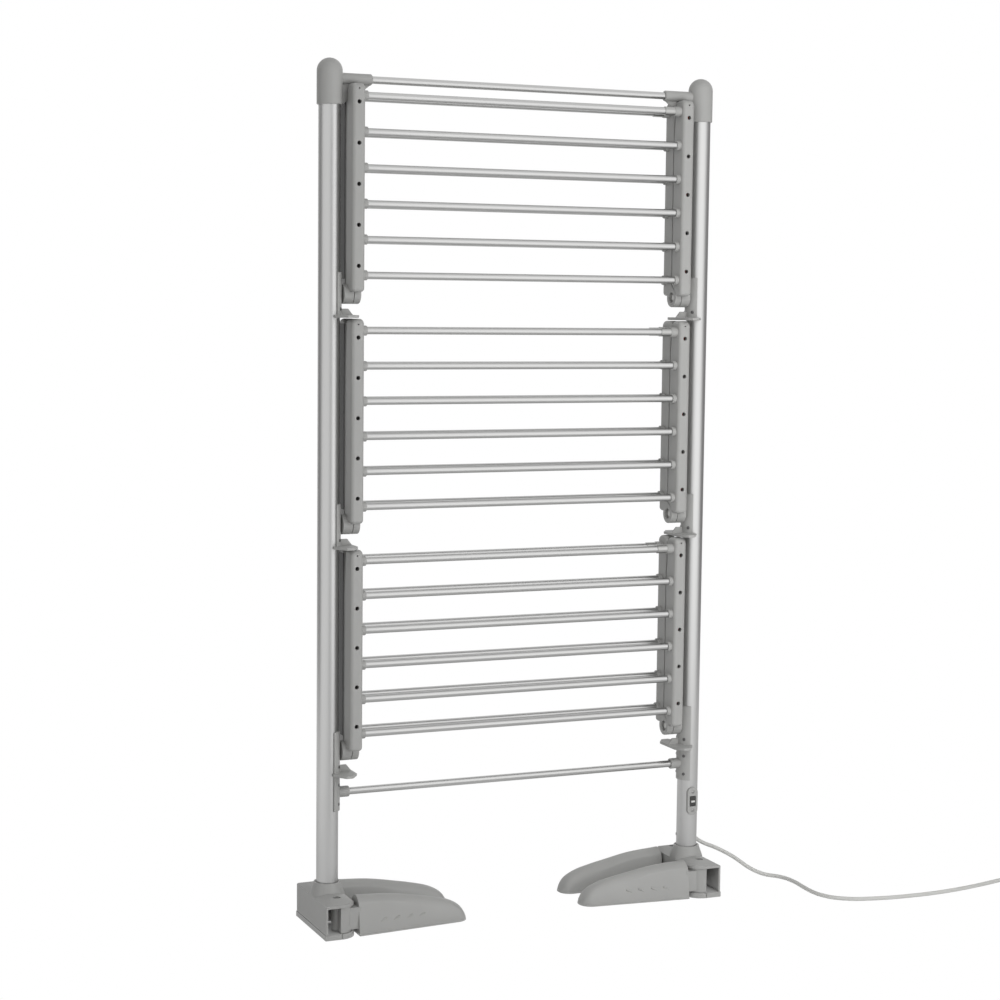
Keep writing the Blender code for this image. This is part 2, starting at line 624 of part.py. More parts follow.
def rail_shape(outer_knuckle, with_sleeve):
    """A right-hand rail on the +Y side in its wing's frame, with the hinge axis along X."""
    knuckle_ends = (KNUCKLE_SPLIT_X + FIT, KNUCKLE_OUTER_X) if outer_knuckle else (
        KNUCKLE_INNER_X,
        KNUCKLE_SPLIT_X - FIT,
    )
    notch_ends = (RAIL_INNER_X - OVERRUN, KNUCKLE_SPLIT_X) if outer_knuckle else (
        KNUCKLE_SPLIT_X,
        RAIL_OUTER_X + OVERRUN,
    )
    steps = [
        ("DIFFERENCE", rod(KNUCKLE_RADIUS + KNUCKLE_CLEARANCE, *notch_ends, KNUCKLE_SIDES, "X")),
        ("UNION", rod(KNUCKLE_RADIUS, *knuckle_ends, KNUCKLE_SIDES, "X")),
    ]
    cavity_x = (RAIL_INNER_X + RAIL_CAVITY_START, RAIL_OUTER_X - RAIL_CAVITY_WALL)
    cavity_y = (ROD_FROM_PIVOT - RAIL_CAVITY_HALF_DEPTH, ROD_FROM_PIVOT + RAIL_CAVITY_HALF_DEPTH)
    cavity_z = (FIRST_ROD_RISE - BOSS_RADIUS, RAIL_TOP_RISE - LAST_ROD_DROP + BOSS_RADIUS)
    cavity = box(*zip(cavity_x, cavity_y, cavity_z))
    steps.append(("DIFFERENCE", cavity))
    pin_bore_ends = (RAIL_INNER_X - OVERRUN, KNUCKLE_OUTER_X + OVERRUN)
    steps.append(("DIFFERENCE", rod(PIN_BORE, *pin_bore_ends, PIN_SIDES, "X")))
    if not outer_knuckle:
        recess_ends = (RAIL_INNER_X - OVERRUN, KNUCKLE_INNER_X + PIN_RECESS_DEPTH)
        steps.append(("DIFFERENCE", rod(PIN_RECESS_RADIUS, *recess_ends, PIN_SIDES, "X")))
    boss_end = RAIL_INNER_X + RAIL_EDGE_ROUND
    bore_start = RAIL_INNER_X - SLEEVE_BOSS_LENGTH - SLEEVE_LENGTH - OVERRUN
    bore_end = RAIL_INNER_X + RAIL_CAVITY_START + OVERRUN
    centres = [(0, ROD_FROM_PIVOT, rise) for rise in rod_rises()]
    lengths = [BOSS_LENGTH] * ROD_COUNT
    if with_sleeve:
        lengths[-1] = SLEEVE_BOSS_LENGTH
    bosses = [
        rod(BOSS_RADIUS, RAIL_INNER_X - length, boss_end, ROD_SIDES, "X", centre)
        for centre, length in zip(centres, lengths)
    ]
    steps.append(("UNION", grouped(bosses)))
    if with_sleeve:
        sleeve_start = RAIL_INNER_X - SLEEVE_BOSS_LENGTH - SLEEVE_LENGTH
        sleeve = rod(SLEEVE_RADIUS, sleeve_start, RAIL_INNER_X, ROD_SIDES, "X", centres[-1])
        steps.append(("UNION", sleeve))
    bores = [rod(ROD_RADIUS + FIT, bore_start, bore_end, ROD_SIDES, "X", centre) for centre in centres]
    steps.append(("DIFFERENCE", grouped(bores)))
    return combined(rail_body(), steps)


def rods_shape():
    """A wing's six tubes, which a strip inside the right rail ties together."""
    half_rod = RAIL_INNER_X + ROD_SOCKET_DEPTH
    rises = rod_rises()
    strip_x = half_rod - FIT - STRIP_THICKNESS
    strip = box(
        (strip_x, ROD_FROM_PIVOT - STRIP_HALF_DEPTH, rises[0]),
        (strip_x + STRIP_THICKNESS, ROD_FROM_PIVOT + STRIP_HALF_DEPTH, rises[-1]),
    )
    centres = [(0, ROD_FROM_PIVOT, rise) for rise in rises]
    bore_end = half_rod + OVERRUN
    tubes = [rod(ROD_RADIUS, -half_rod, half_rod, ROD_SIDES, "X", centre) for centre in centres]
    bores = [rod(ROD_BORE, -bore_end, bore_end, ROD_SIDES, "X", centre) for centre in centres]
    steps = [("UNION", grouped(tubes)), ("DIFFERENCE", grouped(bores))]
    return combined(strip, steps)


def heater_shape():
    """One heating cable that runs to and fro through all six tubes, and turns inside the rails."""
    turn_start = RAIL_INNER_X + ROD_SOCKET_DEPTH + FIT
    turn_end = turn_start + HEATER_TURN_THICKNESS
    half_turn = HEATER_TURN_THICKNESS / 2
    rises = rod_rises()
    runs = [
        rod(HEATER_RADIUS, -turn_end, turn_end, HEATER_SIDES, "X", (0, ROD_FROM_PIVOT, rise))
        for rise in rises
    ]
    turns = []
    for index, (low, high) in enumerate(zip(rises, rises[1:])):
        ends = (turn_start, turn_end - FIT) if index % 2 == 0 else (FIT - turn_end, -turn_start)
        low_corner = (ends[0], ROD_FROM_PIVOT - half_turn, low)
        high_corner = (ends[1], ROD_FROM_PIVOT + half_turn, high)
        turns.append(box(low_corner, high_corner))
    return combined(grouped(runs), [("UNION", grouped(turns))])


def build_wings(rail_material, rod_material, heater_material):
    """Six wings. The front ones have the outer knuckles and the back ones the inner knuckles."""
    rods_mesh = rods_shape()
    heater_mesh = heater_shape()
    for face, flip in (("front", True), ("back", False)):
        right_rail = mirrored(rail_shape(flip, True), False, flip)
        left_rail = mirrored(rail_shape(flip, False), True, flip)
        rods = mirrored(rods_mesh, False, flip)
        heater = mirrored(heater_mesh, False, flip)
        for tier, height in zip(TIER_NAMES, PIVOT_HEIGHTS):
            hinge = bpy.data.objects.new(f"{tier}_{face}_hinge", None)
            bpy.context.collection.objects.link(hinge)
            hinge.location = (0, 0, height)
            wing = f"{tier}_{face}"
            add_node(f"{wing}_rail_right", right_rail, rail_material, hinge)
            add_node(f"{wing}_rail_left", left_rail, rail_material, hinge)
            add_node(f"{wing}_rods", rods, rod_material, hinge)
            add_node(f"{wing}_heater", heater, heater_material, hinge)


def foot_plan(radius):
    """Round lugs about the leg pivots on the inner side, and square corners on the outer side."""
    front = arc((0, -LEG_PIVOT_Y), radius, math.pi, 3 * math.pi / 2, LUG_STEPS)
    back = arc((0, LEG_PIVOT_Y), radius, math.pi / 2, math.pi, LUG_STEPS)
    outer = [(radius, -LEG_PIVOT_Y - radius), (radius, LEG_PIVOT_Y + radius)]
    return [(POST_X + x, y) for x, y in [*front, *outer, *back]]


def foot_block(inset, roof_drop, bottom):
    """The foot's outline with its arched roof, drawn in by the inset."""
    half_width = LUG_RADIUS - inset
    rise = FOOT_RIDGE_HEIGHT - FOOT_EDGE_HEIGHT
    roof_radius = (LUG_RADIUS**2 + rise**2) / (2 * rise)
    middle = (POST_X, FOOT_RIDGE_HEIGHT - roof_drop - roof_radius)
    half_angle = math.asin((LUG_RADIUS + OVERRUN) / roof_radius)
    roof = arc(middle, roof_radius, math.pi / 2 + half_angle, math.pi / 2 - half_angle, ROOF_STEPS)
    side = LUG_RADIUS + OVERRUN
    roof_outline = [*roof, (POST_X + side, bottom), (POST_X - side, bottom)]
    length = LEG_PIVOT_Y + half_width + OVERRUN
    plan = prism(foot_plan(half_width), "Z", bottom, FOOT_RIDGE_HEIGHT + OVERRUN)
    return combined(plan, [("INTERSECT", prism(roof_outline, "Y", -length, length))])


def build_feet(material):
    """A foot cover with the post's socket, and open pockets at both ends that the leg knuckles turn in."""
    outer = foot_block(0, 0, FOOT_BOTTOM_Z)
    inner = foot_block(FOOT_WALL, ROOF_WALL, FOOT_BOTTOM_Z - OVERRUN)
    steps = [("DIFFERENCE", inner)]
    post = (POST_X, 0, 0)
    ring_bore = POST_RADIUS
    socket_profile = [
        (ring_bore, FOOT_BOTTOM_Z + SPIGOT_HEIGHT / 2),
        (SADDLE_RADIUS, FOOT_BOTTOM_Z + SPIGOT_HEIGHT / 2),
        (SADDLE_RADIUS, FOOT_EDGE_HEIGHT),
        (BOSS_FOOT_RADIUS, FOOT_EDGE_HEIGHT),
        (BOSS_FOOT_RADIUS, FOOT_EDGE_HEIGHT + ROOF_WALL),
        (BOSS_TOP_RADIUS, BOSS_TOP_HEIGHT),
        (ring_bore, BOSS_TOP_HEIGHT),
    ]
    side_limit = box(
        (POST_X - LUG_RADIUS, -LEG_PIVOT_Y, FOOT_BOTTOM_Z),
        (POST_X + LUG_RADIUS, LEG_PIVOT_Y, BOSS_TOP_HEIGHT + OVERRUN),
    )
    socket = combined(turned(socket_profile, POST_SIDES, centre=post), [("INTERSECT", side_limit)])
    steps.append(("UNION", socket))
    for side in (-1, 1):
        pivot = (POST_X, side * LEG_PIVOT_Y, 0)
        pillar_ends = (POCKET_HEIGHT, FOOT_RIDGE_HEIGHT - ROOF_WALL / 2)
        steps.append(("UNION", rod(LEG_HUB_RADIUS, *pillar_ends, KNUCKLE_SIDES, centre=pivot)))
        pocket_back = side * (LEG_PIVOT_Y - POCKET_BACK_GAP)
        pocket_y = sorted((pocket_back, side * (LEG_PIVOT_Y + LUG_RADIUS + OVERRUN)))
        pocket = box(
            (POST_X - LUG_RADIUS - OVERRUN, pocket_y[0], FOOT_BOTTOM_Z - OVERRUN),
            (POST_X + LUG_RADIUS - FOOT_WALL - POCKET_LIP, pocket_y[1], POCKET_HEIGHT),
        )
        steps.append(("DIFFERENCE", pocket))
        recess_bottom = FOOT_RIDGE_HEIGHT - LEG_PIN_RECESS_DEPTH
        top = FOOT_RIDGE_HEIGHT + OVERRUN
        recess = rod(LEG_PIN_RECESS_RADIUS, recess_bottom, top, KNUCKLE_SIDES, centre=pivot)
        steps.append(("DIFFERENCE", recess))
        steps.append(("DIFFERENCE", rod(PIN_BORE, POCKET_HEIGHT - OVERRUN, top, PIN_SIDES, centre=pivot)))
    socket_high = BOSS_TOP_HEIGHT - SOCKET_RING_GAP
    steps.append(("DIFFERENCE", post_cutter(POST_CLEARANCE, FOOT_BOTTOM_Z - OVERRUN, socket_high)))
    ring = POST_CLEARANCE + SOCKET_RING_GAP
    ring_low = BOSS_TOP_HEIGHT - SADDLE_WALL
    steps.append(("DIFFERENCE", post_cutter(ring, ring_low, BOSS_TOP_HEIGHT + OVERRUN)))
    add_pair("foot_cover", combined(outer, steps), material)


def build_foot_bases(material):
    """Base plates with a spigot in the post and blind holes for the leg pins."""
    plate = prism(foot_plan(LUG_RADIUS + BASE_LIP), "Z", 0, BASE_THICKNESS)
    post = (POST_X, 0, 0)
    spigot_ends = (BASE_THICKNESS / 2, BASE_THICKNESS + SPIGOT_HEIGHT)
    steps = [("UNION", rod(POST_BORE - FIT, *spigot_ends, POST_SIDES, centre=post))]
    for side in (-1, 1):
        pivot = (POST_X, side * LEG_PIVOT_Y, 0)
        hole_ends = (BASE_THICKNESS - LEG_PIN_BASE_DEPTH, BASE_THICKNESS + OVERRUN)
        steps.append(("DIFFERENCE", rod(PIN_BORE, *hole_ends, PIN_SIDES, centre=pivot)))
    add_pair("foot_base", combined(plate, steps), material)


def leg_section(share, crest_share, ridge_share):
    """One cross-section of a leg that points along -X from its root: (y, z) points round it."""
    along = share * LEG_LENGTH
    nose_start = LEG_LENGTH - LEG_NOSE_RADIUS
    half_width = LEG_ROOT_HALF_WIDTH + (LEG_NOSE_RADIUS - LEG_ROOT_HALF_WIDTH) * min(1, along / nose_start)
    if along > nose_start:
        half_width *= math.sqrt(1 - ((along - nose_start) / LEG_NOSE_RADIUS) ** 2)
    drift = LEG_NOSE_DRIFT * share
    floor = LEG_ROOT_CLEARANCE + (LEG_NOSE_CLEARANCE - LEG_ROOT_CLEARANCE) * share
    crest = crest_share * LEG_ROOT_HEIGHT
    ridge = max(ridge_share * LEG_ROOT_HEIGHT, floor + LEG_ROOT_CLEARANCE)
    crown = ridge + (crest - ridge) * LEG_CROWN_RISE_SHARE
    half = [
        (half_width, floor),
        (half_width * LEG_RIDGE_WIDTH_SHARE, ridge),
        (half_width * LEG_CROWN_WIDTH_SHARE, crown),
    ]
    points = [*half, (0, crest), *[(-y, z) for y, z in reversed(half)]]
    return [(y + drift, z) for y, z in points]


def leg_shape():
    """The right front leg about its pivot: a beam along -X with a knuckle that turns in the foot."""
    bm = bmesh.new()
    rings = []
    for share, crest_share, ridge_share in LEG_STATION_SHARES:
        x = -LEG_ROOT_X - share * LEG_LENGTH
        rings.append([bm.verts.new((x, y, z)) for y, z in leg_section(share, crest_share, ridge_share)])
    for ring, following in zip(rings, rings[1:]):
        for index in range(len(ring)):
            after = (index + 1) % len(ring)
            bm.faces.new((ring[index], ring[after], following[after], following[index]))
    bm.faces.new(rings[0])
    bm.faces.new(rings[-1])
    beam = mesh_from(bm)

    low, high = LEG_KNUCKLE_BOTTOM_Z, LEG_KNUCKLE_TOP_Z
    quarter = box((-LUG_RADIUS, -LUG_RADIUS, low), (LEG_KNUCKLE_FLANK, LEG_KNUCKLE_FLANK, high))
    disc = rod(LEG_KNUCKLE_RADIUS, low, high, POST_SIDES)
    sector = combined(disc, [("INTERSECT", quarter)])
    neck = box(
        (-LEG_ROOT_X - LEG_NECK_INSET, -2 * LEG_NECK_HALF_WIDTH, low + LEG_NECK_INSET),
        (-LEG_KNUCKLE_RADIUS / 2, 0, high - LEG_NECK_INSET),
    )
    hub = rod(LEG_HUB_RADIUS, low, high, KNUCKLE_SIDES)
    bore = rod(PIN_BORE, 0, FOOT_RIDGE_HEIGHT, PIN_SIDES)
    return combined(beam, [("UNION", neck), ("UNION", sector), ("UNION", hub), ("DIFFERENCE", bore)])


def build_legs(material):
    front_right = leg_shape()
    for side_name, side in (("right", 1), ("left", -1)):
        for face_name, face in (("front", -1), ("back", 1)):
            mesh = mirrored(front_right, side < 0, face > 0)
            pivot = (side * POST_X, face * LEG_PIVOT_Y, 0)
            add_node(f"leg_{face_name}_{side_name}", mesh, material, None, pivot)


def build_leg_pins(material):
    head_bottom = FOOT_RIDGE_HEIGHT - LEG_PIN_RECESS_DEPTH + FIT
    tip = BASE_THICKNESS - LEG_PIN_BASE_DEPTH + FIT
    profile = [
        (0, tip),
        (PIN_RADIUS, tip),
        (PIN_RADIUS, head_bottom),
        (PIN_HEAD_RADIUS, head_bottom),
        (PIN_HEAD_RADIUS, head_bottom + PIN_HEAD_THICKNESS),
        (0, head_bottom + PIN_HEAD_THICKNESS),
    ]
    for face_name, y in (("front", -LEG_PIVOT_Y), ("back", LEG_PIVOT_Y)):
        add_pair(f"leg_pin_{face_name}", turned(profile, PIN_SIDES, centre=(POST_X, y, 0)), material)


def build_switch(housing_material, rocker_material):
    """A rocker in a housing: a plate on the post's front, and behind it the switch body inside the post."""
    half_width = SWITCH_PLATE_WIDTH / 2
    straight = SWITCH_PLATE_HEIGHT / 2 - half_width
    top_end = arc((POST_X, SWITCH_HEIGHT + straight), half_width, 0, math.pi, SWITCH_END_STEPS)
    bottom_end = arc((POST_X, SWITCH_HEIGHT - straight), half_width, math.pi, math.tau, SWITCH_END_STEPS)
    plate = prism([*top_end, *bottom_end], "Y", SWITCH_FACE_Y, SWITCH_FACE_Y + SWITCH_SIDE_DEPTH)
    opening_half_width = ROCKER_WIDTH / 2 + ROCKER_WINDOW_GAP
    opening_half_height = ROCKER_RADIUS + ROCKER_WINDOW_GAP
    opening = box(
        (POST_X - opening_half_width, SWITCH_FACE_Y - OVERRUN, SWITCH_HEIGHT - opening_half_height),
        (POST_X + opening_half_width, ROCKER_AXIS_Y, SWITCH_HEIGHT + opening_half_height),
    )
    low = SWITCH_HEIGHT - SWITCH_PLATE_HEIGHT
    high = SWITCH_HEIGHT + SWITCH_PLATE_HEIGHT
    front = -POST_RADIUS - SWITCH_FACE_FROM_POST / 2
    back = front + SWITCH_BODY_DEPTH
    body = box(
        (POST_X - SWITCH_BODY_HALF_WIDTH, front, SWITCH_HEIGHT - SWITCH_BODY_HALF_HEIGHT),
        (POST_X + SWITCH_BODY_HALF_WIDTH, back, SWITCH_HEIGHT + SWITCH_BODY_HALF_HEIGHT),
    )
    cavity = rod(
        opening_half_height,
        -opening_half_width,
        opening_half_width,
        POST_SIDES,
        "X",
        (POST_X, ROCKER_AXIS_Y, SWITCH_HEIGHT),
    )
    steps = [
        ("DIFFERENCE", post_cutter(POST_CLEARANCE, low, high)),
        ("UNION", body),
        ("DIFFERENCE", opening),
        ("DIFFERENCE", cavity),
    ]
    add_node("switch_housing", combined(plate, steps), housing_material)

    face = ROCKER_AXIS_INSET
    end_angle = math.asin(face / ROCKER_RADIUS)
    ends = (math.pi / 2 + end_angle, -math.pi / 2 - end_angle)
    round_back = arc((0, 0), ROCKER_RADIUS, *ends, ROCKER_ARC_STEPS)
    outline = [*round_back, (-face - ROCKER_RIDGE_RISE, 0)]
    rocker = prism(outline, "X", -ROCKER_WIDTH / 2, ROCKER_WIDTH / 2)
    rocker.transform(Matrix.Rotation(ROCKER_REST_TILT, 4, "X"))
    place = (POST_X, ROCKER_AXIS_Y, SWITCH_HEIGHT)
    add_node("switch_rocker", rocker, rocker_material, None, place)


def build_bush(material):
    """The strain relief: a neck in the post's hole, a flange against the post and a tapered tail."""
    flange_start = POST_RADIUS + FIT
    flange_end = flange_start + BUSH_FLANGE_THICKNESS
    tail_end = POST_RADIUS + FIT + BUSH_LENGTH
    profile = [
        (0, POST_RADIUS - BUSH_NECK_LENGTH),
        (BUSH_NECK_RADIUS, POST_RADIUS - BUSH_NECK_LENGTH),
        (BUSH_NECK_RADIUS, flange_start),
        (BUSH_FLANGE_RADIUS, flange_start),
        (BUSH_FLANGE_RADIUS, flange_end),
        (BUSH_NECK_RADIUS, flange_end),
        (BUSH_TIP_RADIUS, tail_end),
        (0, tail_end),
    ]
    bush = turned(profile, PIN_SIDES, "Y")
    bush.transform(Matrix.Translation((POST_X, 0, CORD_EXIT_HEIGHT)) @ exit_turn())
    add_node("cord_strain_relief", bush, material)


def cord_route():
    """The route by hand, with the stretch above the floor raised or lowered to meet the exit."""
    drawn_rise = CORD_ROUTE[0][2] - CORD_RADIUS
    share = (CORD_EXIT_HEIGHT - CORD_RADIUS) / drawn_rise
    return [(x, y, CORD_RADIUS + (z - CORD_RADIUS) * share) for x, y, z in CORD_ROUTE]


def curve_through(points):
    """A smooth curve through the route's own points, read at an even spacing."""
    chain = [Vector(point) for point in points]
    chain = [chain[0] * 2 - chain[1], *chain, chain[-1] * 2 - chain[-2]]
    fine = []
    for before, start, end, after in zip(chain, chain[1:], chain[2:], chain[3:]):
        for step in range(COIL_POINTS_PER_TURN):
            t = step / COIL_POINTS_PER_TURN
            bend = 2 * before - 5 * start + 4 * end - after
            twist = 3 * (start - end) + after - before
            fine.append((2 * start + (end - before) * t + bend * t**2 + twist * t**3) / 2)
    fine.append(chain[-2])
    lengths = np.cumsum([0, *[(b - a).length for a, b in zip(fine, fine[1:])]])
    count = round(lengths[-1] / CORD_POINT_SPACING)
    wanted = np.linspace(0, lengths[-1], count + 1)
    columns = [np.interp(wanted, lengths, [point[axis] for point in fine]) for axis in range(3)]
    return np.column_stack(columns)


def coil_points():
    """Two layers of loops on the floor: the lower one spirals in, and the upper one spirals out again."""
    turns = COIL_LAYERS * COIL_TURNS_PER_LAYER
    points = []
    for step in range(turns * COIL_POINTS_PER_TURN + 1):
        turn = step / COIL_POINTS_PER_TURN
        from_middle = abs(turn - turns / 2)
        radius = COIL_OUTER_RADIUS - COIL_LOOP_STEP * (COIL_TURNS_PER_LAYER - from_middle)
        climbed = (turn - turns / 2) / COIL_CLIMB_TURN_SHARE + 1 / 2
        height = COIL_LAYER_STEP * min(1, max(0, climbed))
        angle = -math.pi / 2 + math.tau * turn
        offset = Vector((radius * math.cos(angle), radius * math.sin(angle), height))
        points.append(COIL_MIDDLE + offset)
    return points


def least_gap(points, diameter):
    """The least gap between turns, from points that lie well apart along the cord."""
    places = np.array(points)
    skip = COIL_POINTS_PER_TURN // 2
    closest = math.inf
    for index in range(len(places) - skip):
        starts = places[index + skip : -1]
        runs = places[index + skip + 1 :] - starts
        if not len(starts):
            break
        shares = ((places[index] - starts) * runs).sum(1) / (runs**2).sum(1)
        nearest = starts + runs * np.clip(shares, 0, 1)[:, None]
        closest = min(closest, np.linalg.norm(nearest - places[index], axis=1).min())
    return closest - diameter


def add_cord_node(name, points, resolution, material):
    curve = bpy.data.curves.new(name, "CURVE")
    curve.dimensions = "3D"
    curve.bevel_depth = CORD_RADIUS
    curve.bevel_resolution = resolution
    curve.use_fill_caps = True
    spline = curve.splines.new("POLY")
    spline.points.add(len(points) - 1)
    for place, point in zip(points, spline.points):
        point.co = (*place, 1)
    curve.materials.append(material)
    node = bpy.data.objects.new(name, curve)
    bpy.context.collection.objects.link(node)


def build_cord(material):
    """The free stretch and the coil. Returns the coil's last point and the cord's last direction."""
    straight = Vector((1, 0, 0))
    route = cord_route()
    start, end = Vector(route[0]), Vector(route[-1])
    first_run = [start, start + CORD_EXIT_DIRECTION * 2 * CORD_RADIUS]
    last_run = [end - straight * (COIL_LEAD_IN + CORD_GAP + back) for back in (2 * CORD_RADIUS, 0)]
    free = [*first_run, *curve_through(route)[1:-2], *last_run]
    add_cord_node("supply_cord", free, 2, material)
    loops = coil_points()
    gap = least_gap(loops, 2 * CORD_RADIUS)
    print(f"coil: least gap {gap * 1000:.2f} mm, wanted over {COIL_LEAST_GAP * 1000:.1f} mm")
    coil = [end - straight * COIL_LEAD_IN, *loops, loops[-1] + straight * COIL_LEAD_OUT]
    add_cord_node("supply_cord_coil", coil, 1, material)
    runs = [np.linalg.norm(np.diff(np.array(part), axis=0), axis=1) for part in (free, coil)]
    length = sum(run.sum() for run in runs)
    print(f"cord: {length:.3f} m from the strain relief to the plug")
    return coil[-1]


def build_plug(cord_end, material):
    """A plain three-pin plug lying on its back, with its sleeve on the cord's end."""
    sleeve_start = cord_end.x + CORD_GAP
    body_start = sleeve_start + PLUG_SLEEVE_LENGTH
    half_width = PLUG_WIDTH / 2
    corners = [
        (body_start, cord_end.y - half_width),
        (body_start + PLUG_LENGTH, cord_end.y - half_width),
        (body_start + PLUG_LENGTH, cord_end.y + half_width),
        (body_start, cord_end.y + half_width),
    ]
    outline = rounded(corners, (PLUG_CORNER,) * len(corners), PLUG_CORNER_STEPS)
    bm = bmesh.new()
    bm.from_mesh(prism(outline, "Z", 0, PLUG_THICKNESS))
    rim = [edge for edge in bm.edges if abs(edge.verts[0].co.z - edge.verts[1].co.z) < MERGE]
    bmesh.ops.bevel(
        bm,
        geom=rim,
        offset=PLUG_EDGE_ROUND,
        segments=EDGE_ROUND_SEGMENTS,
        profile=EDGE_ROUND_PROFILE_SHARE,
        affect="EDGES",
        clamp_overlap=True,
    )
    sleeve_profile = [
        (0, sleeve_start),
        (PLUG_SLEEVE_RADIUS, sleeve_start),
        (PLUG_SLEEVE_RADIUS, body_start + PLUG_CORNER),
        (0, body_start + PLUG_CORNER),
    ]
    sleeve = turned(sleeve_profile, PLUG_SLEEVE_SIDES, "X", (0, cord_end.y, cord_end.z))
    steps = [("UNION", sleeve)]
    line_x = body_start + PLUG_LENGTH / 2 - EARTH_BLADE_OFFSET / 2
    blades = [
        (line_x, -PIN_BLADE_SPACING / 2, PIN_BLADE_THICKNESS, PIN_BLADE_WIDTH, PIN_BLADE_LENGTH),
        (line_x, PIN_BLADE_SPACING / 2, PIN_BLADE_THICKNESS, PIN_BLADE_WIDTH, PIN_BLADE_LENGTH),
        (line_x + EARTH_BLADE_OFFSET, 0, EARTH_BLADE_WIDTH, PIN_BLADE_THICKNESS, EARTH_BLADE_LENGTH),
    ]
    seat = PLUG_THICKNESS - PIN_BLADE_SET_IN
    for x, side, width_x, width_y, length in blades:
        y = cord_end.y + side
        low = (x - width_x / 2, y - width_y / 2, seat)
        high = (x + width_x / 2, y + width_y / 2, PLUG_THICKNESS + length)
        steps.append(("UNION", box(low, high)))
    add_node("plug", combined(mesh_from(bm), steps), material)


def build_airer():
    remove_objects()
    plastic = make_material("grey_plastic", (0.35, 0.35, 0.34), 0.45, 0)
    bracket_plastic = make_material("light_grey_plastic", (0.42, 0.42, 0.41), 0.45, 0)
    aluminium = make_material("satin_aluminium", (0.72, 0.72, 0.71), 0.3, 1)
    steel = make_material("zinc_plated_steel", (0.55, 0.55, 0.54), 0.35, 1)
    dark = make_material("dark_plastic", (0.04, 0.04, 0.04), 0.4, 0)
    cable = make_material("light_grey_cable", (0.5, 0.5, 0.49), 0.5, 0)
    heater = make_material("heating_cable", (0.6, 0.15, 0.1), 0.6, 0)

    build_posts(aluminium)
    build_caps(plastic)
    build_cross_bars(aluminium)
    for tier in range(len(TIER_NAMES)):
        build_bracket(tier, bracket_plastic)
    build_hinge_pins(steel)
    build_wings(plastic, aluminium, heater)
    build_feet(plastic)
    build_foot_bases(plastic)
    build_legs(plastic)
    build_leg_pins(steel)
    build_switch(bracket_plastic, dark)
    build_bush(cable)
    cord_end = build_cord(cable)
    build_plug(cord_end, cable)
    bpy.context.view_layer.update()
    nodes = [item for item in bpy.data.objects if item.type != "EMPTY"]
    print(f"{len(nodes)} pieces")


build_airer()
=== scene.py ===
# %% [markdown]
# # A folding heated clothes airer
# The airer stands folded: two aluminium posts in plastic feet, three tiers of hinged wings made of
# heated tubes, and legs turned in along the width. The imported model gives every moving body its
# place. This lesson builds the finished surfaces around it, piece by piece, with Blender's own tools.

import math

import bpy
import numpy as np
from mathutils import Matrix, Vector


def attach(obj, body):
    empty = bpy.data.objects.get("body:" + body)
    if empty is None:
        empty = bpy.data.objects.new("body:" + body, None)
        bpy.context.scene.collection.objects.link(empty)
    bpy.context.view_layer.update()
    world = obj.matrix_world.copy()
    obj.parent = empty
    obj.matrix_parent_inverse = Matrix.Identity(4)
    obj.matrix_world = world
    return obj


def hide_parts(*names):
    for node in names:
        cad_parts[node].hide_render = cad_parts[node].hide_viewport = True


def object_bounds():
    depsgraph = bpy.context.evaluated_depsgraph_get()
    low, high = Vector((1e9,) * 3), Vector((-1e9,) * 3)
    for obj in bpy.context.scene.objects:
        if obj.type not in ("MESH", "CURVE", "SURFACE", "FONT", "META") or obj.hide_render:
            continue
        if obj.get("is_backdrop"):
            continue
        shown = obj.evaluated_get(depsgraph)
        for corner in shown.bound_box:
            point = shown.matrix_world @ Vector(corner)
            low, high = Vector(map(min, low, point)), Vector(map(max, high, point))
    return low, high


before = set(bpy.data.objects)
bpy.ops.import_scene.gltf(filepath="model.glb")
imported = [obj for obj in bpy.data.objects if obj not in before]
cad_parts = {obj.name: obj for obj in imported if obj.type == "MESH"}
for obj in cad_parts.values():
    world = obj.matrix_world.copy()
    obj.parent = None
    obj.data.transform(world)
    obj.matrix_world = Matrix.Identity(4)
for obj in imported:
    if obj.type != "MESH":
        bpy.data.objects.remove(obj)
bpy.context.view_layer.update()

# %% [markdown]
# ## The camera
# The photograph was taken from the front left, a little above the middle of the posts and tipped
# slightly down, with a long lens. A camera object holds its place, its turn and its focal length. The
# turn is written as two aiming angles and a small roll, because these are what a photographer sets.

# %% Camera
CAMERA_PLACE = (-1.43899, -3.26931, 1.03435)
CAMERA_YAW = 0.40645
CAMERA_PITCH = -0.09299
CAMERA_ROLL = 0.01087
CAMERA_LENS_MM = 76.42

camera = bpy.data.objects.new("camera", bpy.data.cameras.new("camera"))
bpy.context.scene.collection.objects.link(camera)
camera.data.lens = CAMERA_LENS_MM
camera.data.clip_end = 50
aim = Matrix.Rotation(-CAMERA_YAW, 4, "Z") @ Matrix.Rotation(math.pi / 2 + CAMERA_PITCH, 4, "X")
camera.matrix_world = Matrix.Translation(CAMERA_PLACE) @ aim @ Matrix.Rotation(CAMERA_ROLL, 4, "Z")
bpy.context.scene.camera = camera
print(f"camera at {CAMERA_PLACE}")

# %% [markdown]
# ## The mains lead
# A mains lead is a soft round cable that leaves the post through a rubber sleeve, sinks to the floor
# and lies there in loose bends. A curve is the natural tool: its points are the cable's middle line and
# its bevel is the cable's thickness. The part that the picture doesn't show is put away in a small coil
# just outside the view.

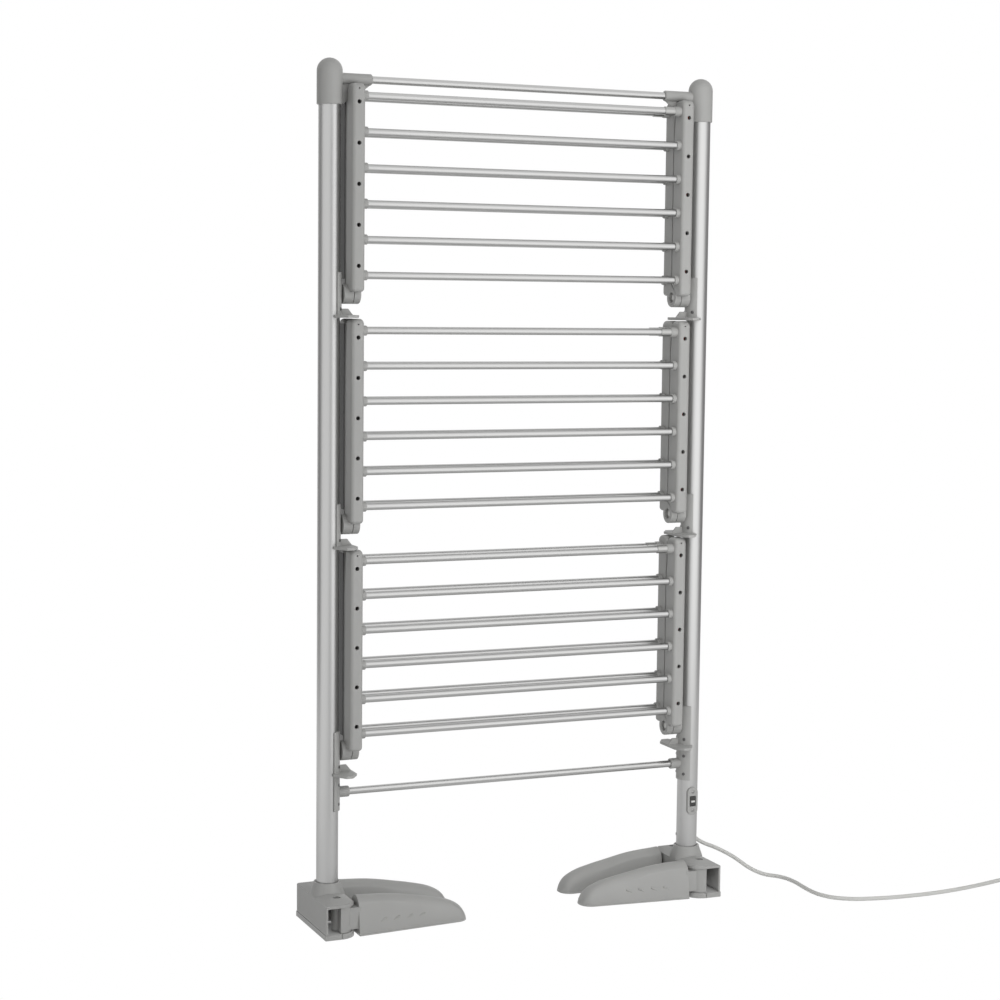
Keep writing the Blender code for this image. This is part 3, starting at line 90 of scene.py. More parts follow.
# %% The lead's route
CORD_RADIUS = 0.0035
CORD_ROUTE = (
    (0.3562, 0.0350, 0.095),
    (0.3610, 0.0433, 0.095),
    (0.3693, 0.0558, 0.0908),
    (0.3790, 0.0636, 0.0807),
    (0.3900, 0.0658, 0.0688),
    (0.4045, 0.0615, 0.0590),
    (0.426, 0.050, 0.050),
    (0.451, 0.035, 0.036),
    (0.476, 0.020, 0.017),
    (0.494, 0.012, 0.0075),
    (0.508, 0.004, 0.0036),
    (0.521, -0.012, 0.0035),
    (0.528, -0.033, 0.0035),
    (0.529, -0.060, 0.0035),
    (0.526, -0.092, 0.0035),
    (0.525, -0.121, 0.0035),
    (0.529, -0.144, 0.0035),
    (0.540, -0.165, 0.0035),
    (0.558, -0.180, 0.0035),
    (0.583, -0.191, 0.0035),
    (0.640, -0.202, 0.0035),
    (0.720, -0.205, 0.0035),
    (0.800, -0.196, 0.0035),
    (0.880, -0.178, 0.0035),
    (0.950, -0.160, 0.0035),
    (1.000, -0.1505, 0.0035),
)
COIL_LAYERS = 2
COIL_TURNS_PER_LAYER = 2
COIL_STEPS = 48
COIL_OUTER_RADIUS = 0.0432
COIL_LOOP_STEP = 0.0079
COIL_LAYER_STEP = 0.0077
COIL_CLIMB_SHARE = 0.5
COIL_LEAD_OUT = 0.042
CORD_STEP = 0.004
ROUTE_STEPS = 24


def smooth_route(points):
    """Points close together on a smooth curve through the route."""
    chain = [Vector(point) for point in points]
    chain = [chain[0] * 2 - chain[1], *chain, chain[-1] * 2 - chain[-2]]
    fine = []
    for before, start, end, after in zip(chain, chain[1:], chain[2:], chain[3:]):
        for step in range(ROUTE_STEPS):
            t = step / ROUTE_STEPS
            bend = 2 * before - 5 * start + 4 * end - after
            twist = 3 * (start - end) + after - before
            fine.append((2 * start + (end - before) * t + bend * t**2 + twist * t**3) / 2)
    fine.append(chain[-2])
    return fine


def coil_loops():
    """Two layers of two turns each, spiralling in on the floor and out again on top."""
    turns = COIL_LAYERS * COIL_TURNS_PER_LAYER
    middle = Vector(CORD_ROUTE[-1]) + Vector((0, COIL_OUTER_RADIUS, 0))
    loops = []
    for step in range(turns * COIL_STEPS + 1):
        turn = step / COIL_STEPS
        from_middle = abs(turn - turns / 2)
        radius = COIL_OUTER_RADIUS - COIL_LOOP_STEP * (COIL_TURNS_PER_LAYER - from_middle)
        climbed = (turn - turns / 2) / COIL_CLIMB_SHARE + 1 / 2
        height = COIL_LAYER_STEP * min(1, max(0, climbed))
        angle = -math.pi / 2 + math.tau * turn
        loops.append(middle + Vector((radius * math.cos(angle), radius * math.sin(angle), height)))
    return loops


def evenly(points, step):
    """The same line with its points a given distance apart."""
    places = np.array(points)
    runs = np.linalg.norm(np.diff(places, axis=0), axis=1)
    along = np.concatenate([[0], np.cumsum(runs)])
    wanted = np.linspace(0, along[-1], round(along[-1] / step) + 1)
    return np.column_stack([np.interp(wanted, along, places[:, axis]) for axis in range(3)])


loops = coil_loops()
cord_end = loops[-1] + Vector((COIL_LEAD_OUT, 0, 0))
cord_line = evenly([*smooth_route(CORD_ROUTE), *loops[1:], cord_end], CORD_STEP)

# %% The lead itself
cord_curve = bpy.data.curves.new("mains_lead", "CURVE")
cord_curve.dimensions = "3D"
cord_curve.bevel_depth = CORD_RADIUS
cord_curve.bevel_resolution = 6
cord_curve.use_fill_caps = True
spline = cord_curve.splines.new("POLY")
spline.points.add(len(cord_line) - 1)
for place, point in zip(cord_line, spline.points):
    point.co = (*place, 1)
mains_lead = bpy.data.objects.new("mains_lead", cord_curve)
bpy.context.scene.collection.objects.link(mains_lead)
print(f"lead: {len(cord_line)} points")

# %% [markdown]
# ## The studio
# A pale floor and a pale surround, as in a packshot. The world is white where the camera or a mirror
# looks, and a softer grey where it lights the airer.

# %% Surround
AMBIENT_LEVEL = 0.33
WHITE = (1, 1, 1, 1)

scene = bpy.context.scene
scene.view_settings.view_transform = "Standard"


def add_node(tree, kind, inputs=None, **settings):
    """Add a shader node with these settings, and set or link its inputs."""
    node = tree.nodes.new(kind)
    for key, value in settings.items():
        setattr(node, key, value)
    for key, value in (inputs or {}).items():
        if isinstance(value, bpy.types.NodeSocket):
            tree.links.new(value, node.inputs[key])
        else:
            node.inputs[key].default_value = value
    return node


def reckon(tree, operation, first, second):
    """A Math node's result."""
    return add_node(tree, "ShaderNodeMath", {0: first, 1: second}, operation=operation).outputs[0]


def seen_directly(tree):
    """One where a ray comes from the camera, a mirror or glass, and zero where it lights something."""
    path = add_node(tree, "ShaderNodeLightPath").outputs
    camera_or_mirror = reckon(tree, "MAXIMUM", path["Is Camera Ray"], path["Is Glossy Ray"])
    return reckon(tree, "MAXIMUM", camera_or_mirror, path["Is Transmission Ray"])


world = bpy.data.worlds.new("studio")
world.use_nodes = True
scene.world = world
tree = world.node_tree
tree.nodes.clear()
ambient = add_node(tree, "ShaderNodeBackground", {"Color": WHITE, "Strength": AMBIENT_LEVEL})
backdrop = add_node(tree, "ShaderNodeBackground", {"Color": WHITE, "Strength": 1})
mixed = {0: seen_directly(tree), 1: ambient.outputs[0], 2: backdrop.outputs[0]}
choice = add_node(tree, "ShaderNodeMixShader", mixed)
add_node(tree, "ShaderNodeOutputWorld", {"Surface": choice.outputs[0]})

# %% [markdown]
# Each lamp is an area lamp: a rectangle that glows, so that its shadows are soft. Its place and the
# point that it faces are all that a photographer would set. The lamps light the plastic. What the
# polished metal shows is set apart from them, with cards.

# %% Lamps
LAMPS = (
    ("key_lamp", (0.50, -1.10, 1.00), (0.40, 0.0, 0.95), (1.5, 1.8), 10.8),
    ("top_lamp", (0.30, -1.90, 3.10), (0.0, 0.0, 0.70), (2.4, 0.8), 11.5),
    ("fill_lamp", (-3.2, -1.6, 1.8), (0.0, 0.0, 0.70), (3.0, 3.0), 15),
)
for name, place, target, size, power in LAMPS:
    lamp = bpy.data.objects.new(name, bpy.data.lights.new(name, "AREA"))
    lamp.data.shape = "RECTANGLE"
    lamp.data.size, lamp.data.size_y = size
    lamp.data.energy = power
    lamp.location = place
    lamp.rotation_euler = (Vector(target) - Vector(place)).to_track_quat("-Z", "Y").to_euler()
    lamp.visible_camera = False
    lamp.visible_glossy = False
    scene.collection.objects.link(lamp)
print(f"studio: {len(LAMPS)} lamps")

# %% [markdown]
# The floor is a wide plane. It sends light up to the airer as pale paper does. The camera and mirrors
# see it as plain white, so that it melts into the surround.

# %% Floor
FLOOR_SIZE = 60
FLOOR_COLOUR = (0.9, 0.9, 0.9, 1)


def studio_plane(name, place=(0, 0, 0), turn=(0, 0, 0), size=(1, 1, 1)):
    """A plane for the studio, and the empty node tree of its material."""
    bpy.ops.object.select_all(action="DESELECT")
    bpy.ops.mesh.primitive_plane_add(size=1, location=place, rotation=turn)
    plane = bpy.context.object
    plane.name = name
    plane.scale = size
    paper = bpy.data.materials.new(name)
    paper.use_nodes = True
    paper.node_tree.nodes.clear()
    plane.data.materials.append(paper)
    return plane, paper.node_tree


floor, tree = studio_plane("studio_floor", size=(FLOOR_SIZE, FLOOR_SIZE, 1))
matte = add_node(tree, "ShaderNodeBsdfDiffuse", {"Color": FLOOR_COLOUR})
glow = add_node(tree, "ShaderNodeEmission", {"Strength": 1})
mixed = {0: seen_directly(tree), 1: matte.outputs[0], 2: glow.outputs[0]}
mix = add_node(tree, "ShaderNodeMixShader", mixed)
add_node(tree, "ShaderNodeOutputMaterial", {"Surface": mix.outputs[0]})
floor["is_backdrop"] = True
print("floor laid")

# %% [markdown]
# Polished metal shows what stands round it. Five glowing cards, which only mirrors see, take the place
# of a real studio's surfaces: a bright one before the airer gives the long highlights, a grey one on
# the floor the tubes' undersides, a darker one at each side the dark edges of the posts, and a narrow
# one the grey line down the left post.

# %% Cards
LYING = (0, 0, 0)
FACING_BACK = (math.pi / 2, 0, 0)
FACING_SIDEWAYS = (math.pi / 2, 0, math.pi / 2)
CARDS = (
    ("card_before_the_airer", (0.50, -1.12, 1.00), FACING_BACK, (1.5, 1.8, 1), 1.5),
    ("card_on_the_floor", (0.3, -0.4, 0.012), LYING, (2.4, 2.6, 1), 0.70),
    ("card_at_the_right", (1.5, 0.05, 0.9), FACING_SIDEWAYS, (1.6, 1.5, 1), 0.30),
    ("card_at_the_left", (-1.3, 0.90, 0.9), FACING_SIDEWAYS, (1.6, 1.5, 1), 0.30),
    ("card_before_the_left_post", (-0.294, -0.45, 0.80), FACING_BACK, (0.21, 1.3, 1), 0.60),
)
for name, place, turn, size, level in CARDS:
    card, tree = studio_plane(name, place, turn, size)
    glow = add_node(tree, "ShaderNodeEmission", {"Strength": level})
    add_node(tree, "ShaderNodeOutputMaterial", {"Surface": glow.outputs[0]})
    card.visible_camera = False
    card.visible_diffuse = False
    card.visible_shadow = False
    card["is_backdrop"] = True
print(f"cards: {len(CARDS)}")

# %% [markdown]
# ## Finishes
# The mouldings are grey plastic with a fine spark texture, the tubes are drawn aluminium, and the
# small parts are steel, rubber and glossy plastic. What several finishes share is built once as a
# node group with named sockets, and each material sets its own numbers on it.

# %% Helpers for node groups
COLOUR, NUMBER, VECTOR = "NodeSocketColor", "NodeSocketFloat", "NodeSocketVector"


def between(tree, share, low, high):
    """A number that goes from low to high as the share goes from zero to one."""
    ends = {"Value": share, "To Min": low, "To Max": high}
    return add_node(tree, "ShaderNodeMapRange", ends).outputs["Result"]


def noise(tree, where, scale, detail):
    """A Noise Texture's pattern."""
    inputs = {"Vector": where, "Scale": scale, "Detail": detail}
    return add_node(tree, "ShaderNodeTexNoise", inputs).outputs["Fac"]


def surface_group(name, inputs, patterns, relief_height, depth_name, gets_lighter):
    """A node group for a finish. Each input is (name, kind of socket, value).

    The patterns function draws the relief and the cloud that changes the shade and the gloss.
    """
    group = bpy.data.node_groups.new(name, "ShaderNodeTree")
    for socket_name, kind, value in inputs:
        socket = group.interface.new_socket(socket_name, in_out="INPUT", socket_type=kind)
        socket.default_value = value
    for socket_name, kind in (("Colour", COLOUR), ("Roughness", NUMBER), ("Normal", VECTOR)):
        group.interface.new_socket(socket_name, in_out="OUTPUT", socket_type=kind)
    given = add_node(group, "NodeGroupInput").outputs
    relief, cloud = patterns(group, given)
    raised = {"Strength": given[depth_name], "Distance": relief_height, "Height": relief}
    bump = add_node(group, "ShaderNodeBump", raised)
    darkest = reckon(group, "SUBTRACT", 1, given["Shade Change"])
    lightest = reckon(group, "ADD", 1, given["Shade Change"]) if gets_lighter else 1
    shaded = {0: given["Colour"], "Scale": between(group, cloud, darkest, lightest)}
    tint = add_node(group, "ShaderNodeVectorMath", shaded, operation="SCALE")
    dullest = reckon(group, "ADD", given["Roughness"], given["Roughness Change"])
    gloss = between(group, cloud, given["Roughness"], dullest)
    results = {"Colour": tint.outputs[0], "Roughness": gloss, "Normal": bump.outputs["Normal"]}
    add_node(group, "NodeGroupOutput", results)
    print("group:", name)


# %% [markdown]
# Spark texture is the fine matte grain that a mould gives to plastic. Noise on Object coordinates
# bumps the surface, a much wider noise makes the grey a little uneven, and the same wide noise turns
# the gloss up and down, as handling does.

# %% Moulded grain
MOULDED = "moulded_grain"
MOULDED_INPUTS = (
    ("Colour", COLOUR, (0.36, 0.36, 0.35, 1)),
    ("Grain Scale", NUMBER, 1400),
    ("Grain Depth", NUMBER, 0.12),
    ("Cloud Scale", NUMBER, 14),
    ("Shade Change", NUMBER, 0.05),
    ("Roughness", NUMBER, 0.42),
    ("Roughness Change", NUMBER, 0.06),
)


def moulded_patterns(group, given):
    """A fine grain for the relief and a wide cloud for the shade."""
    where = add_node(group, "ShaderNodeTexCoord").outputs["Object"]
    return noise(group, where, given["Grain Scale"], 2), noise(group, where, given["Cloud Scale"], 4)


surface_group(MOULDED, MOULDED_INPUTS, moulded_patterns, 0.0004, "Grain Depth", True)

# %% [markdown]
# A drawn tube has fine lines along its length. Noise that is stretched a hundredfold along the tube
# gives them. The stretch is an input, because posts stand up and the wings' tubes lie across.

# %% Drawn lines
DRAWN = "drawn_lines"
DRAWN_INPUTS = (
    ("Colour", COLOUR, (0.5, 0.5, 0.5, 1)),
    ("Stretch", VECTOR, (1, 1, 1)),
    ("Line Depth", NUMBER, 0.05),
    ("Shade Change", NUMBER, 0.06),
    ("Roughness", NUMBER, 0.24),
    ("Roughness Change", NUMBER, 0.1),
)


def drawn_patterns(group, given):
    """The same fine lines for the relief and for the shade."""
    where = add_node(group, "ShaderNodeTexCoord").outputs["Object"]
    stretched = add_node(group, "ShaderNodeMapping", {"Vector": where, "Scale": given["Stretch"]})
    lines = noise(group, stretched.outputs["Vector"], 1, 3)
    return lines, lines


surface_group(DRAWN, DRAWN_INPUTS, drawn_patterns, 0.0003, "Line Depth", False)

# %% [markdown]
# A finish is a material whose Principled shader takes its colour, roughness and normal from one of
# the groups. Numbers that are the same all over the piece are set on the shader itself.

# %% Finishes
METAL = {"Metallic": 1}
POST_LINES = {"Stretch": (700, 700, 4), "Line Depth": 0.008, "Roughness": 0.33}
TUBE_LINES = {"Stretch": (4, 900, 900), "Line Depth": 0.004, "Roughness": 0.25}
POST_EDGE = {"Specular Tint": (0.8, 0.8, 0.8, 1)}
TUBE_EDGE = {"Specular Tint": (0.85, 0.85, 0.85, 1)}


def moulded(depth, roughness=0.42, **more):
    """The grain's numbers for one finish."""
    return {"Grain Depth": depth, "Roughness": roughness, **more}


# Each finish: its group, its slot in the part's list, its colour and its own numbers
FINISHES = {
    "grey_moulding": (MOULDED, "grey_plastic", (0.39, 0.39, 0.38), moulded(0.1)),
    "bracket_moulding": (MOULDED, "light_grey_plastic", (0.40, 0.40, 0.39), moulded(0.1)),
    "post_metal": (DRAWN, "satin_aluminium", (0.57, 0.57, 0.565), METAL | POST_EDGE | POST_LINES),
    "tube_metal": (DRAWN, "satin_aluminium", (0.52, 0.52, 0.515), METAL | TUBE_EDGE | TUBE_LINES),
    "pin_steel": (MOULDED, "zinc_plated_steel", (0.42, 0.42, 0.41), METAL | moulded(0.05, 0.3)),
    "screw_steel": (MOULDED, "zinc_plated_steel", (0.16, 0.16, 0.16), METAL | moulded(0.05, 0.32)),
    "blade_brass": (MOULDED, "zinc_plated_steel", (0.62, 0.55, 0.36), METAL | moulded(0.03, 0.25)),
    "rocker_plastic": (MOULDED, "dark_plastic", (0.05, 0.05, 0.048), moulded(0.02, 0.22)),
    # Near-black, for the strips of painted shade on the back rails
    "cover_plastic": (MOULDED, "dark_plastic", (0.055, 0.055, 0.054), moulded(0.08, 0.5)),
    # Pale, for the painted highlight on the rocker's ridge
    "lens_plastic": (MOULDED, "light_grey_plastic", (0.72, 0.72, 0.70), moulded(0.01, 0.2)),
    "sleeve_rubber": (MOULDED, "light_grey_cable", (0.42, 0.42, 0.40), moulded(0.08, 0.55)),
    "cable_sheath": (
        MOULDED, "light_grey_cable", (0.62, 0.62, 0.60), moulded(0.04, 0.45, **{"Cloud Scale": 60})
    ),
    "heater_sheath": (MOULDED, None, (0.45, 0.10, 0.06), moulded(0.05, 0.5, **{"Cloud Scale": 90})),
}
for name, (group_name, _, colour, numbers) in FINISHES.items():
    material = bpy.data.materials.new(name)
    material.use_nodes = True
    tree = material.node_tree
    shader = tree.nodes["Principled BSDF"]
    effect = add_node(tree, "ShaderNodeGroup", node_tree=bpy.data.node_groups[group_name])
    for key, value in {"Colour": (*colour, 1), **numbers}.items():
        holder = effect if key in effect.inputs else shader
        holder.inputs[key].default_value = value
    for result, socket in (("Colour", "Base Color"), ("Roughness", "Roughness"), ("Normal", "Normal")):
        tree.links.new(effect.outputs[result], shader.inputs[socket])
print(f"finishes: {len(FINISHES)}")

# %% [markdown]
# ## Working by hand, in code
# An operator acts on everything that is selected, and a fresh primitive arrives selected all over. So
# each step first deselects everything and takes up its own piece, and faces or edges are then chosen
# by their place.

# %% Taking up a piece
MERGE = 0.00001
SMOOTH_ANGLE = math.radians(34)
ORIGIN = (0, 0, 0)
# How far a cutting tool reaches past a face
PAST = 0.002
AXES = {"X": Vector((1, 0, 0)), "Y": Vector((0, 1, 0)), "Z": Vector((0, 0, 1))}
TURNS = {"X": (0, math.pi / 2, 0), "Y": (math.pi / 2, 0, 0), "Z": (0, 0, 0)}


def start_afresh():
    """Leave edit mode and deselect everything."""
    if bpy.context.object and bpy.context.object.mode != "OBJECT":
        bpy.ops.object.mode_set(mode="OBJECT")
    bpy.ops.object.select_all(action="DESELECT")


def take(piece):
    """Select this piece alone and make it the active one."""
    start_afresh()
    piece.select_set(True)
    bpy.context.view_layer.objects.active = piece
    return piece


def settle(piece):
    """Write the piece's place, turn and size into its mesh, so that its object sits at the origin."""
    take(piece)
    bpy.ops.object.transform_apply(location=True, rotation=True, scale=True)
    return piece


def close_up(piece):
    """Merge doubled points, drop stray edges and turn every face outwards."""
    take(piece)
    bpy.ops.object.mode_set(mode="EDIT")
    bpy.ops.mesh.select_all(action="SELECT")
    bpy.ops.mesh.remove_doubles(threshold=MERGE)
    bpy.ops.mesh.delete_loose(use_verts=True, use_edges=True, use_faces=False)
    bpy.ops.mesh.select_all(action="SELECT")
    bpy.ops.mesh.normals_make_consistent(inside=False)
    bpy.ops.object.mode_set(mode="OBJECT")
    return piece


# %% [markdown]
# Four starting forms cover the whole airer: a cylinder along an axis, a block between two corners, a
# flat plate with a drawn outline, and a turned piece, whose half section is spun about its axis. The
# plate and the turned piece start as a circle primitive. Its points are put on the drawn outline, as
# one types coordinates in the sidebar, and it is then extruded or spun in edit mode.

# %% Starting forms
def cylinder(axis, radius, ends, centre, sides=48, open_ends=False):
    """A cylinder along an axis, from one end to the other, through the centre."""
    start_afresh()
    middle = Vector(centre)
    middle["XYZ".index(axis)] = sum(ends) / 2
    bpy.ops.mesh.primitive_cylinder_add(
        vertices=sides,
        radius=radius,
        depth=abs(ends[1] - ends[0]),
        location=middle,
        rotation=TURNS[axis],
        end_fill_type="NOTHING" if open_ends else "NGON",
    )
    return settle(bpy.context.object)


def block(low, high):
    """A block between two opposite corners."""
    start_afresh()
    low, high = Vector(low), Vector(high)
    bpy.ops.mesh.primitive_cube_add(size=1, location=(low + high) / 2, scale=high - low)
    return settle(bpy.context.object)


def outline_ring(points, filled):
    """A circle primitive with its points put on a drawn outline."""
    start_afresh()
    fill = "NGON" if filled else "NOTHING"
    bpy.ops.mesh.primitive_circle_add(vertices=len(points), fill_type=fill)
    piece = bpy.context.object
    for vertex, point in zip(piece.data.vertices, points):
        vertex.co = point
    return piece


def plate(axis, outline, ends):
    """A flat plate. Along X the outline is (y, z) points, along Y (x, z) and along Z (x, y)."""
    first, second = [AXES[letter] for letter in "XYZ" if letter != axis]
    piece = outline_ring([first * a + second * b + AXES[axis] * ends[0] for a, b in outline], True)
    bpy.ops.object.mode_set(mode="EDIT")
    bpy.ops.mesh.select_all(action="SELECT")
    push = AXES[axis] * (ends[1] - ends[0])
    bpy.ops.mesh.extrude_region_move(TRANSFORM_OT_translate={"value": push})
    return close_up(piece)


def turned(axis, profile, centre, sides=64):
    """A turned piece from (radius, place along the axis) points. The outline is closed by itself."""
    outwards = AXES["X"] if axis == "Z" else AXES["Z"]
    centre = Vector(centre)
    points = [centre + outwards * radius + AXES[axis] * along for radius, along in profile]
    piece = outline_ring(points, False)
    bpy.ops.object.mode_set(mode="EDIT")
    bpy.ops.mesh.select_all(action="SELECT")
    bpy.ops.mesh.spin(steps=sides, angle=math.tau, center=centre, axis=AXES[axis])
    return close_up(piece)


def arc(centre, radius, start, end, steps):
    """Points on an arc, both ends included."""
    angles = [start + (end - start) * step / steps for step in range(steps + 1)]
    return [(centre[0] + radius * math.cos(a), centre[1] + radius * math.sin(a)) for a in angles]


# %% [markdown]
# Pieces are then joined and cut with the Boolean modifier, and their edges are rounded with the Bevel
# modifier or the bevel operator. Every modifier is applied at once, so each piece is a plain mesh.

# %% Joining, cutting and rounding
def apply_modifier(piece, kind, **settings):
    """Give the piece one modifier and apply it."""
    take(piece)
    modifier = piece.modifiers.new("step", kind)
    for key, value in settings.items():
        setattr(modifier, key, value)
    bpy.ops.object.modifier_apply(modifier=modifier.name)
    return piece


def combine(piece, operation, tools):
    """Use each tool once in a Boolean, and remove it."""
    for tool in tools:
        apply_modifier(piece, "BOOLEAN", operation=operation, solver="EXACT", object=tool)
        bpy.data.objects.remove(tool, do_unlink=True)
    return piece


def unite(piece, *tools):
    return combine(piece, "UNION", tools)


def cut(piece, *tools):
    return combine(piece, "DIFFERENCE", tools)


def keep_inside(piece, tool):
    return combine(piece, "INTERSECT", [tool])


def soften(piece, width, segments=3, sharp=30):
    """Round every edge that is sharper than the angle."""
    return apply_modifier(
        piece,
        "BEVEL",
        width=width,
        segments=segments,
        limit_method="ANGLE",
        angle_limit=math.radians(sharp),
        use_clamp_overlap=True,
    )


def round_edges(piece, width, segments, chosen):
    """Round the edges that pass a test on their two ends."""
    take(piece)
    bpy.context.tool_settings.mesh_select_mode = (False, True, False)
    mesh = piece.data
    for item in (*mesh.vertices, *mesh.edges, *mesh.polygons):
        item.select = False
    for edge in mesh.edges:
        edge.select = chosen(*[mesh.vertices[index].co for index in edge.vertices])
    bpy.ops.object.mode_set(mode="EDIT")
    bpy.ops.mesh.bevel(offset=width, segments=segments, affect="EDGES", clamp_overlap=True)
    bpy.ops.object.mode_set(mode="OBJECT")
    return piece


def joined(pieces):
    """One piece from several that touch or stand apart."""
    start_afresh()
    for piece in pieces:
        piece.select_set(True)
    bpy.context.view_layer.objects.active = pieces[0]
    bpy.ops.object.join()
    return pieces[0]


# %% [markdown]
# What repeats is modelled once. A copy gets its own mesh, and a mirrored copy has its faces turned
# outwards again. At the end a piece is dressed: smooth shading that keeps the crisp edges, a finish,
# the body that it rides on, and the plain solids that it stands for.

# %% Copying and dressing
SIDES = (("right", False), ("left", True))


def copied(piece, move):
    """A copy of the piece with its own mesh, moved, turned or mirrored by a matrix."""
    take(piece)
    bpy.ops.object.duplicate()
    copy = bpy.context.object
    copy.matrix_world = move @ piece.matrix_world
    settle(copy)
    return close_up(copy) if move.determinant() < 0 else copy


def mirror_matrix(flip_x, flip_y, shift=(0, 0, 0)):
    """Move by a shift after mirroring across the middle planes."""
    scale = Matrix.Diagonal((-1 if flip_x else 1, -1 if flip_y else 1, 1, 1))
    return Matrix.Translation(shift) @ scale


def dress(piece, name, body, finish, *nodes):
    """Name, smooth and paint a piece, and let it ride on its body in place of the plain nodes."""
    take(piece)
    piece.name = piece.data.name = name
    bpy.ops.object.shade_smooth_by_angle(angle=SMOOTH_ANGLE)
    apply_modifier(piece, "WEIGHTED_NORMAL", keep_sharp=True)
    piece.data.materials.clear()
    piece.data.materials.append(bpy.data.materials[finish])
    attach(piece, body)
    if nodes:
        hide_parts(*nodes)
    return piece


def on_both_sides(piece, name, body, finish, *nodes):
    """Dress a copy of a right-hand piece on each side, and remove the original."""
    for side, flip in SIDES:
        copy = copied(piece, mirror_matrix(flip, False))
        dress(copy, f"{name}_{side}", body, finish, *[f"{node}_{side}" for node in nodes])
    bpy.data.objects.remove(piece)
    print(f"{name}: {len(copy.data.polygons)} faces each")

# %% [markdown]
# ## The posts
# Each post is a drawn aluminium tube, 36 mm across. An open cylinder gives the outer skin, and the
# Solidify modifier gives it a wall. The hinge pins, the switch and the lead need holes, which are cut.

# %% Posts
POST_X = 0.336
POST_AXIS = (POST_X, 0, 0)
POST_RADIUS = 0.018
POST_WALL = 0.0015
POST_LOW, POST_HIGH = 0.00935, 1.3975
POST_SIDES = 72
PIVOT_HEIGHTS = {"bottom": 0.295, "middle": 0.670, "top": 1.045}
PIN_BORE = 0.00435
PIN_HOLE = (POST_X - 0.025, POST_X)
SWITCH_Z = 0.160
WINDOW_HALF_WIDTH, WINDOW_HALF_HEIGHT = 0.00785, 0.01285
CORD_EXIT_Z = CORD_ROUTE[0][2]
CORD_HOLE_RADIUS = 0.00535
CORD_EXIT_TURN = math.radians(30)
exit_place = Matrix.Translation((POST_X, 0, CORD_EXIT_Z)) @ Matrix.Rotation(-CORD_EXIT_TURN, 4, "Z")

tube = cylinder("Z", POST_RADIUS, (POST_LOW, POST_HIGH), POST_AXIS, POST_SIDES, open_ends=True)
apply_modifier(tube, "SOLIDIFY", thickness=POST_WALL, offset=-1)
cut(tube, *[cylinder("X", PIN_BORE, PIN_HOLE, (0, 0, z), 24) for z in PIVOT_HEIGHTS.values()])
left_tube = copied(tube, mirror_matrix(True, False))
window = block(
    (POST_X - WINDOW_HALF_WIDTH, -0.025, SWITCH_Z - WINDOW_HALF_HEIGHT),
    (POST_X + WINDOW_HALF_WIDTH, 0, SWITCH_Z + WINDOW_HALF_HEIGHT),
)
cord_hole = cylinder("Y", CORD_HOLE_RADIUS, (0, 0.025), ORIGIN, 24)
cord_hole.matrix_world = exit_place
cut(tube, window, settle(cord_hole))
dress(tube, "post_tube_right", "frame", "post_metal", "post_right")
dress(left_tube, "post_tube_left", "frame", "post_metal", "post_left")
print("posts:", len(tube.data.polygons), "faces")

# %% [markdown]
# ## The caps
# A cap is a moulded sleeve with a round top. A half section with a round shoulder, spun about the
# post, gives both the dome and the bore in one step. The arm that holds the top rail is spun too, and
# a thin web is joined on below it.

# %% Caps
CAP_RADIUS, CAP_RIM = 0.02085, 0.0008
CAP_TOP, CAP_LOW, CAP_BORE_TOP = 1.420, 1.346, 1.3985
POST_FIT = 0.01835
TOP_RAIL_Z = 1.3882
ARM_END_X = 0.265
ARM_SOCKET_DEPTH = 0.049
ARM_RADIUS, ARM_CHAMFER = 0.009, 0.0017
BAR_RADIUS, BAR_FIT = 0.006, 0.00635
WEB_HALF = 0.0012

sleeve = [
    *arc((0, CAP_TOP - CAP_RADIUS), CAP_RADIUS, math.pi / 2, 0, 20),
    (CAP_RADIUS, CAP_LOW + CAP_RIM),
    (CAP_RADIUS - CAP_RIM, CAP_LOW),
    (POST_FIT, CAP_LOW),
    (POST_FIT, CAP_BORE_TOP),
    (0, CAP_BORE_TOP),
]
cap = turned("Z", sleeve, POST_AXIS, POST_SIDES)
arm_profile = [
    (0, ARM_END_X),
    (ARM_RADIUS - ARM_CHAMFER, ARM_END_X),
    (ARM_RADIUS, ARM_END_X + ARM_CHAMFER),
    (ARM_RADIUS, POST_X),
    (0, POST_X),
]
arm = turned("X", arm_profile, (0, 0, TOP_RAIL_Z), 48)
web_outline = [
    (ARM_END_X + 0.0015, TOP_RAIL_Z - 0.0078),
    (ARM_END_X + 0.0115, TOP_RAIL_Z - 0.0158),
    (POST_X - CAP_RADIUS, CAP_LOW + WEB_HALF),
    (POST_X - POST_RADIUS, CAP_LOW + WEB_HALF),
    (POST_X - POST_RADIUS, TOP_RAIL_Z),
    (ARM_END_X + 0.0015, TOP_RAIL_Z),
]
unite(cap, arm, plate("Y", web_outline, (-WEB_HALF, WEB_HALF)))
post_bore = cylinder("Z", POST_FIT, (CAP_LOW - PAST, CAP_BORE_TOP), POST_AXIS, POST_SIDES)
socket_ends = (ARM_END_X - PAST, ARM_END_X + ARM_SOCKET_DEPTH)
cut(cap, post_bore, cylinder("X", BAR_FIT, socket_ends, (0, 0, TOP_RAIL_Z), 32))
soften(cap, 0.0007, 2, 40)
on_both_sides(cap, "cap", "frame", "grey_moulding", "post_cap")

# %% [markdown]
# ## The rail across the top and the bar near the floor
# Both are thin aluminium tubes whose ends sit in plastic sockets. An open cylinder with a wall is
# enough, because the tubes are plain.

# %% Cross tubes
TUBE_WALL = 0.001
BOTTOM_BAR_Z = 0.226


def cross_tube(half_length, centre):
    """An aluminium tube along X with a real wall."""
    piece = cylinder("X", BAR_RADIUS, (-half_length, half_length), centre, 40, open_ends=True)
    return apply_modifier(piece, "SOLIDIFY", thickness=TUBE_WALL, offset=-1)


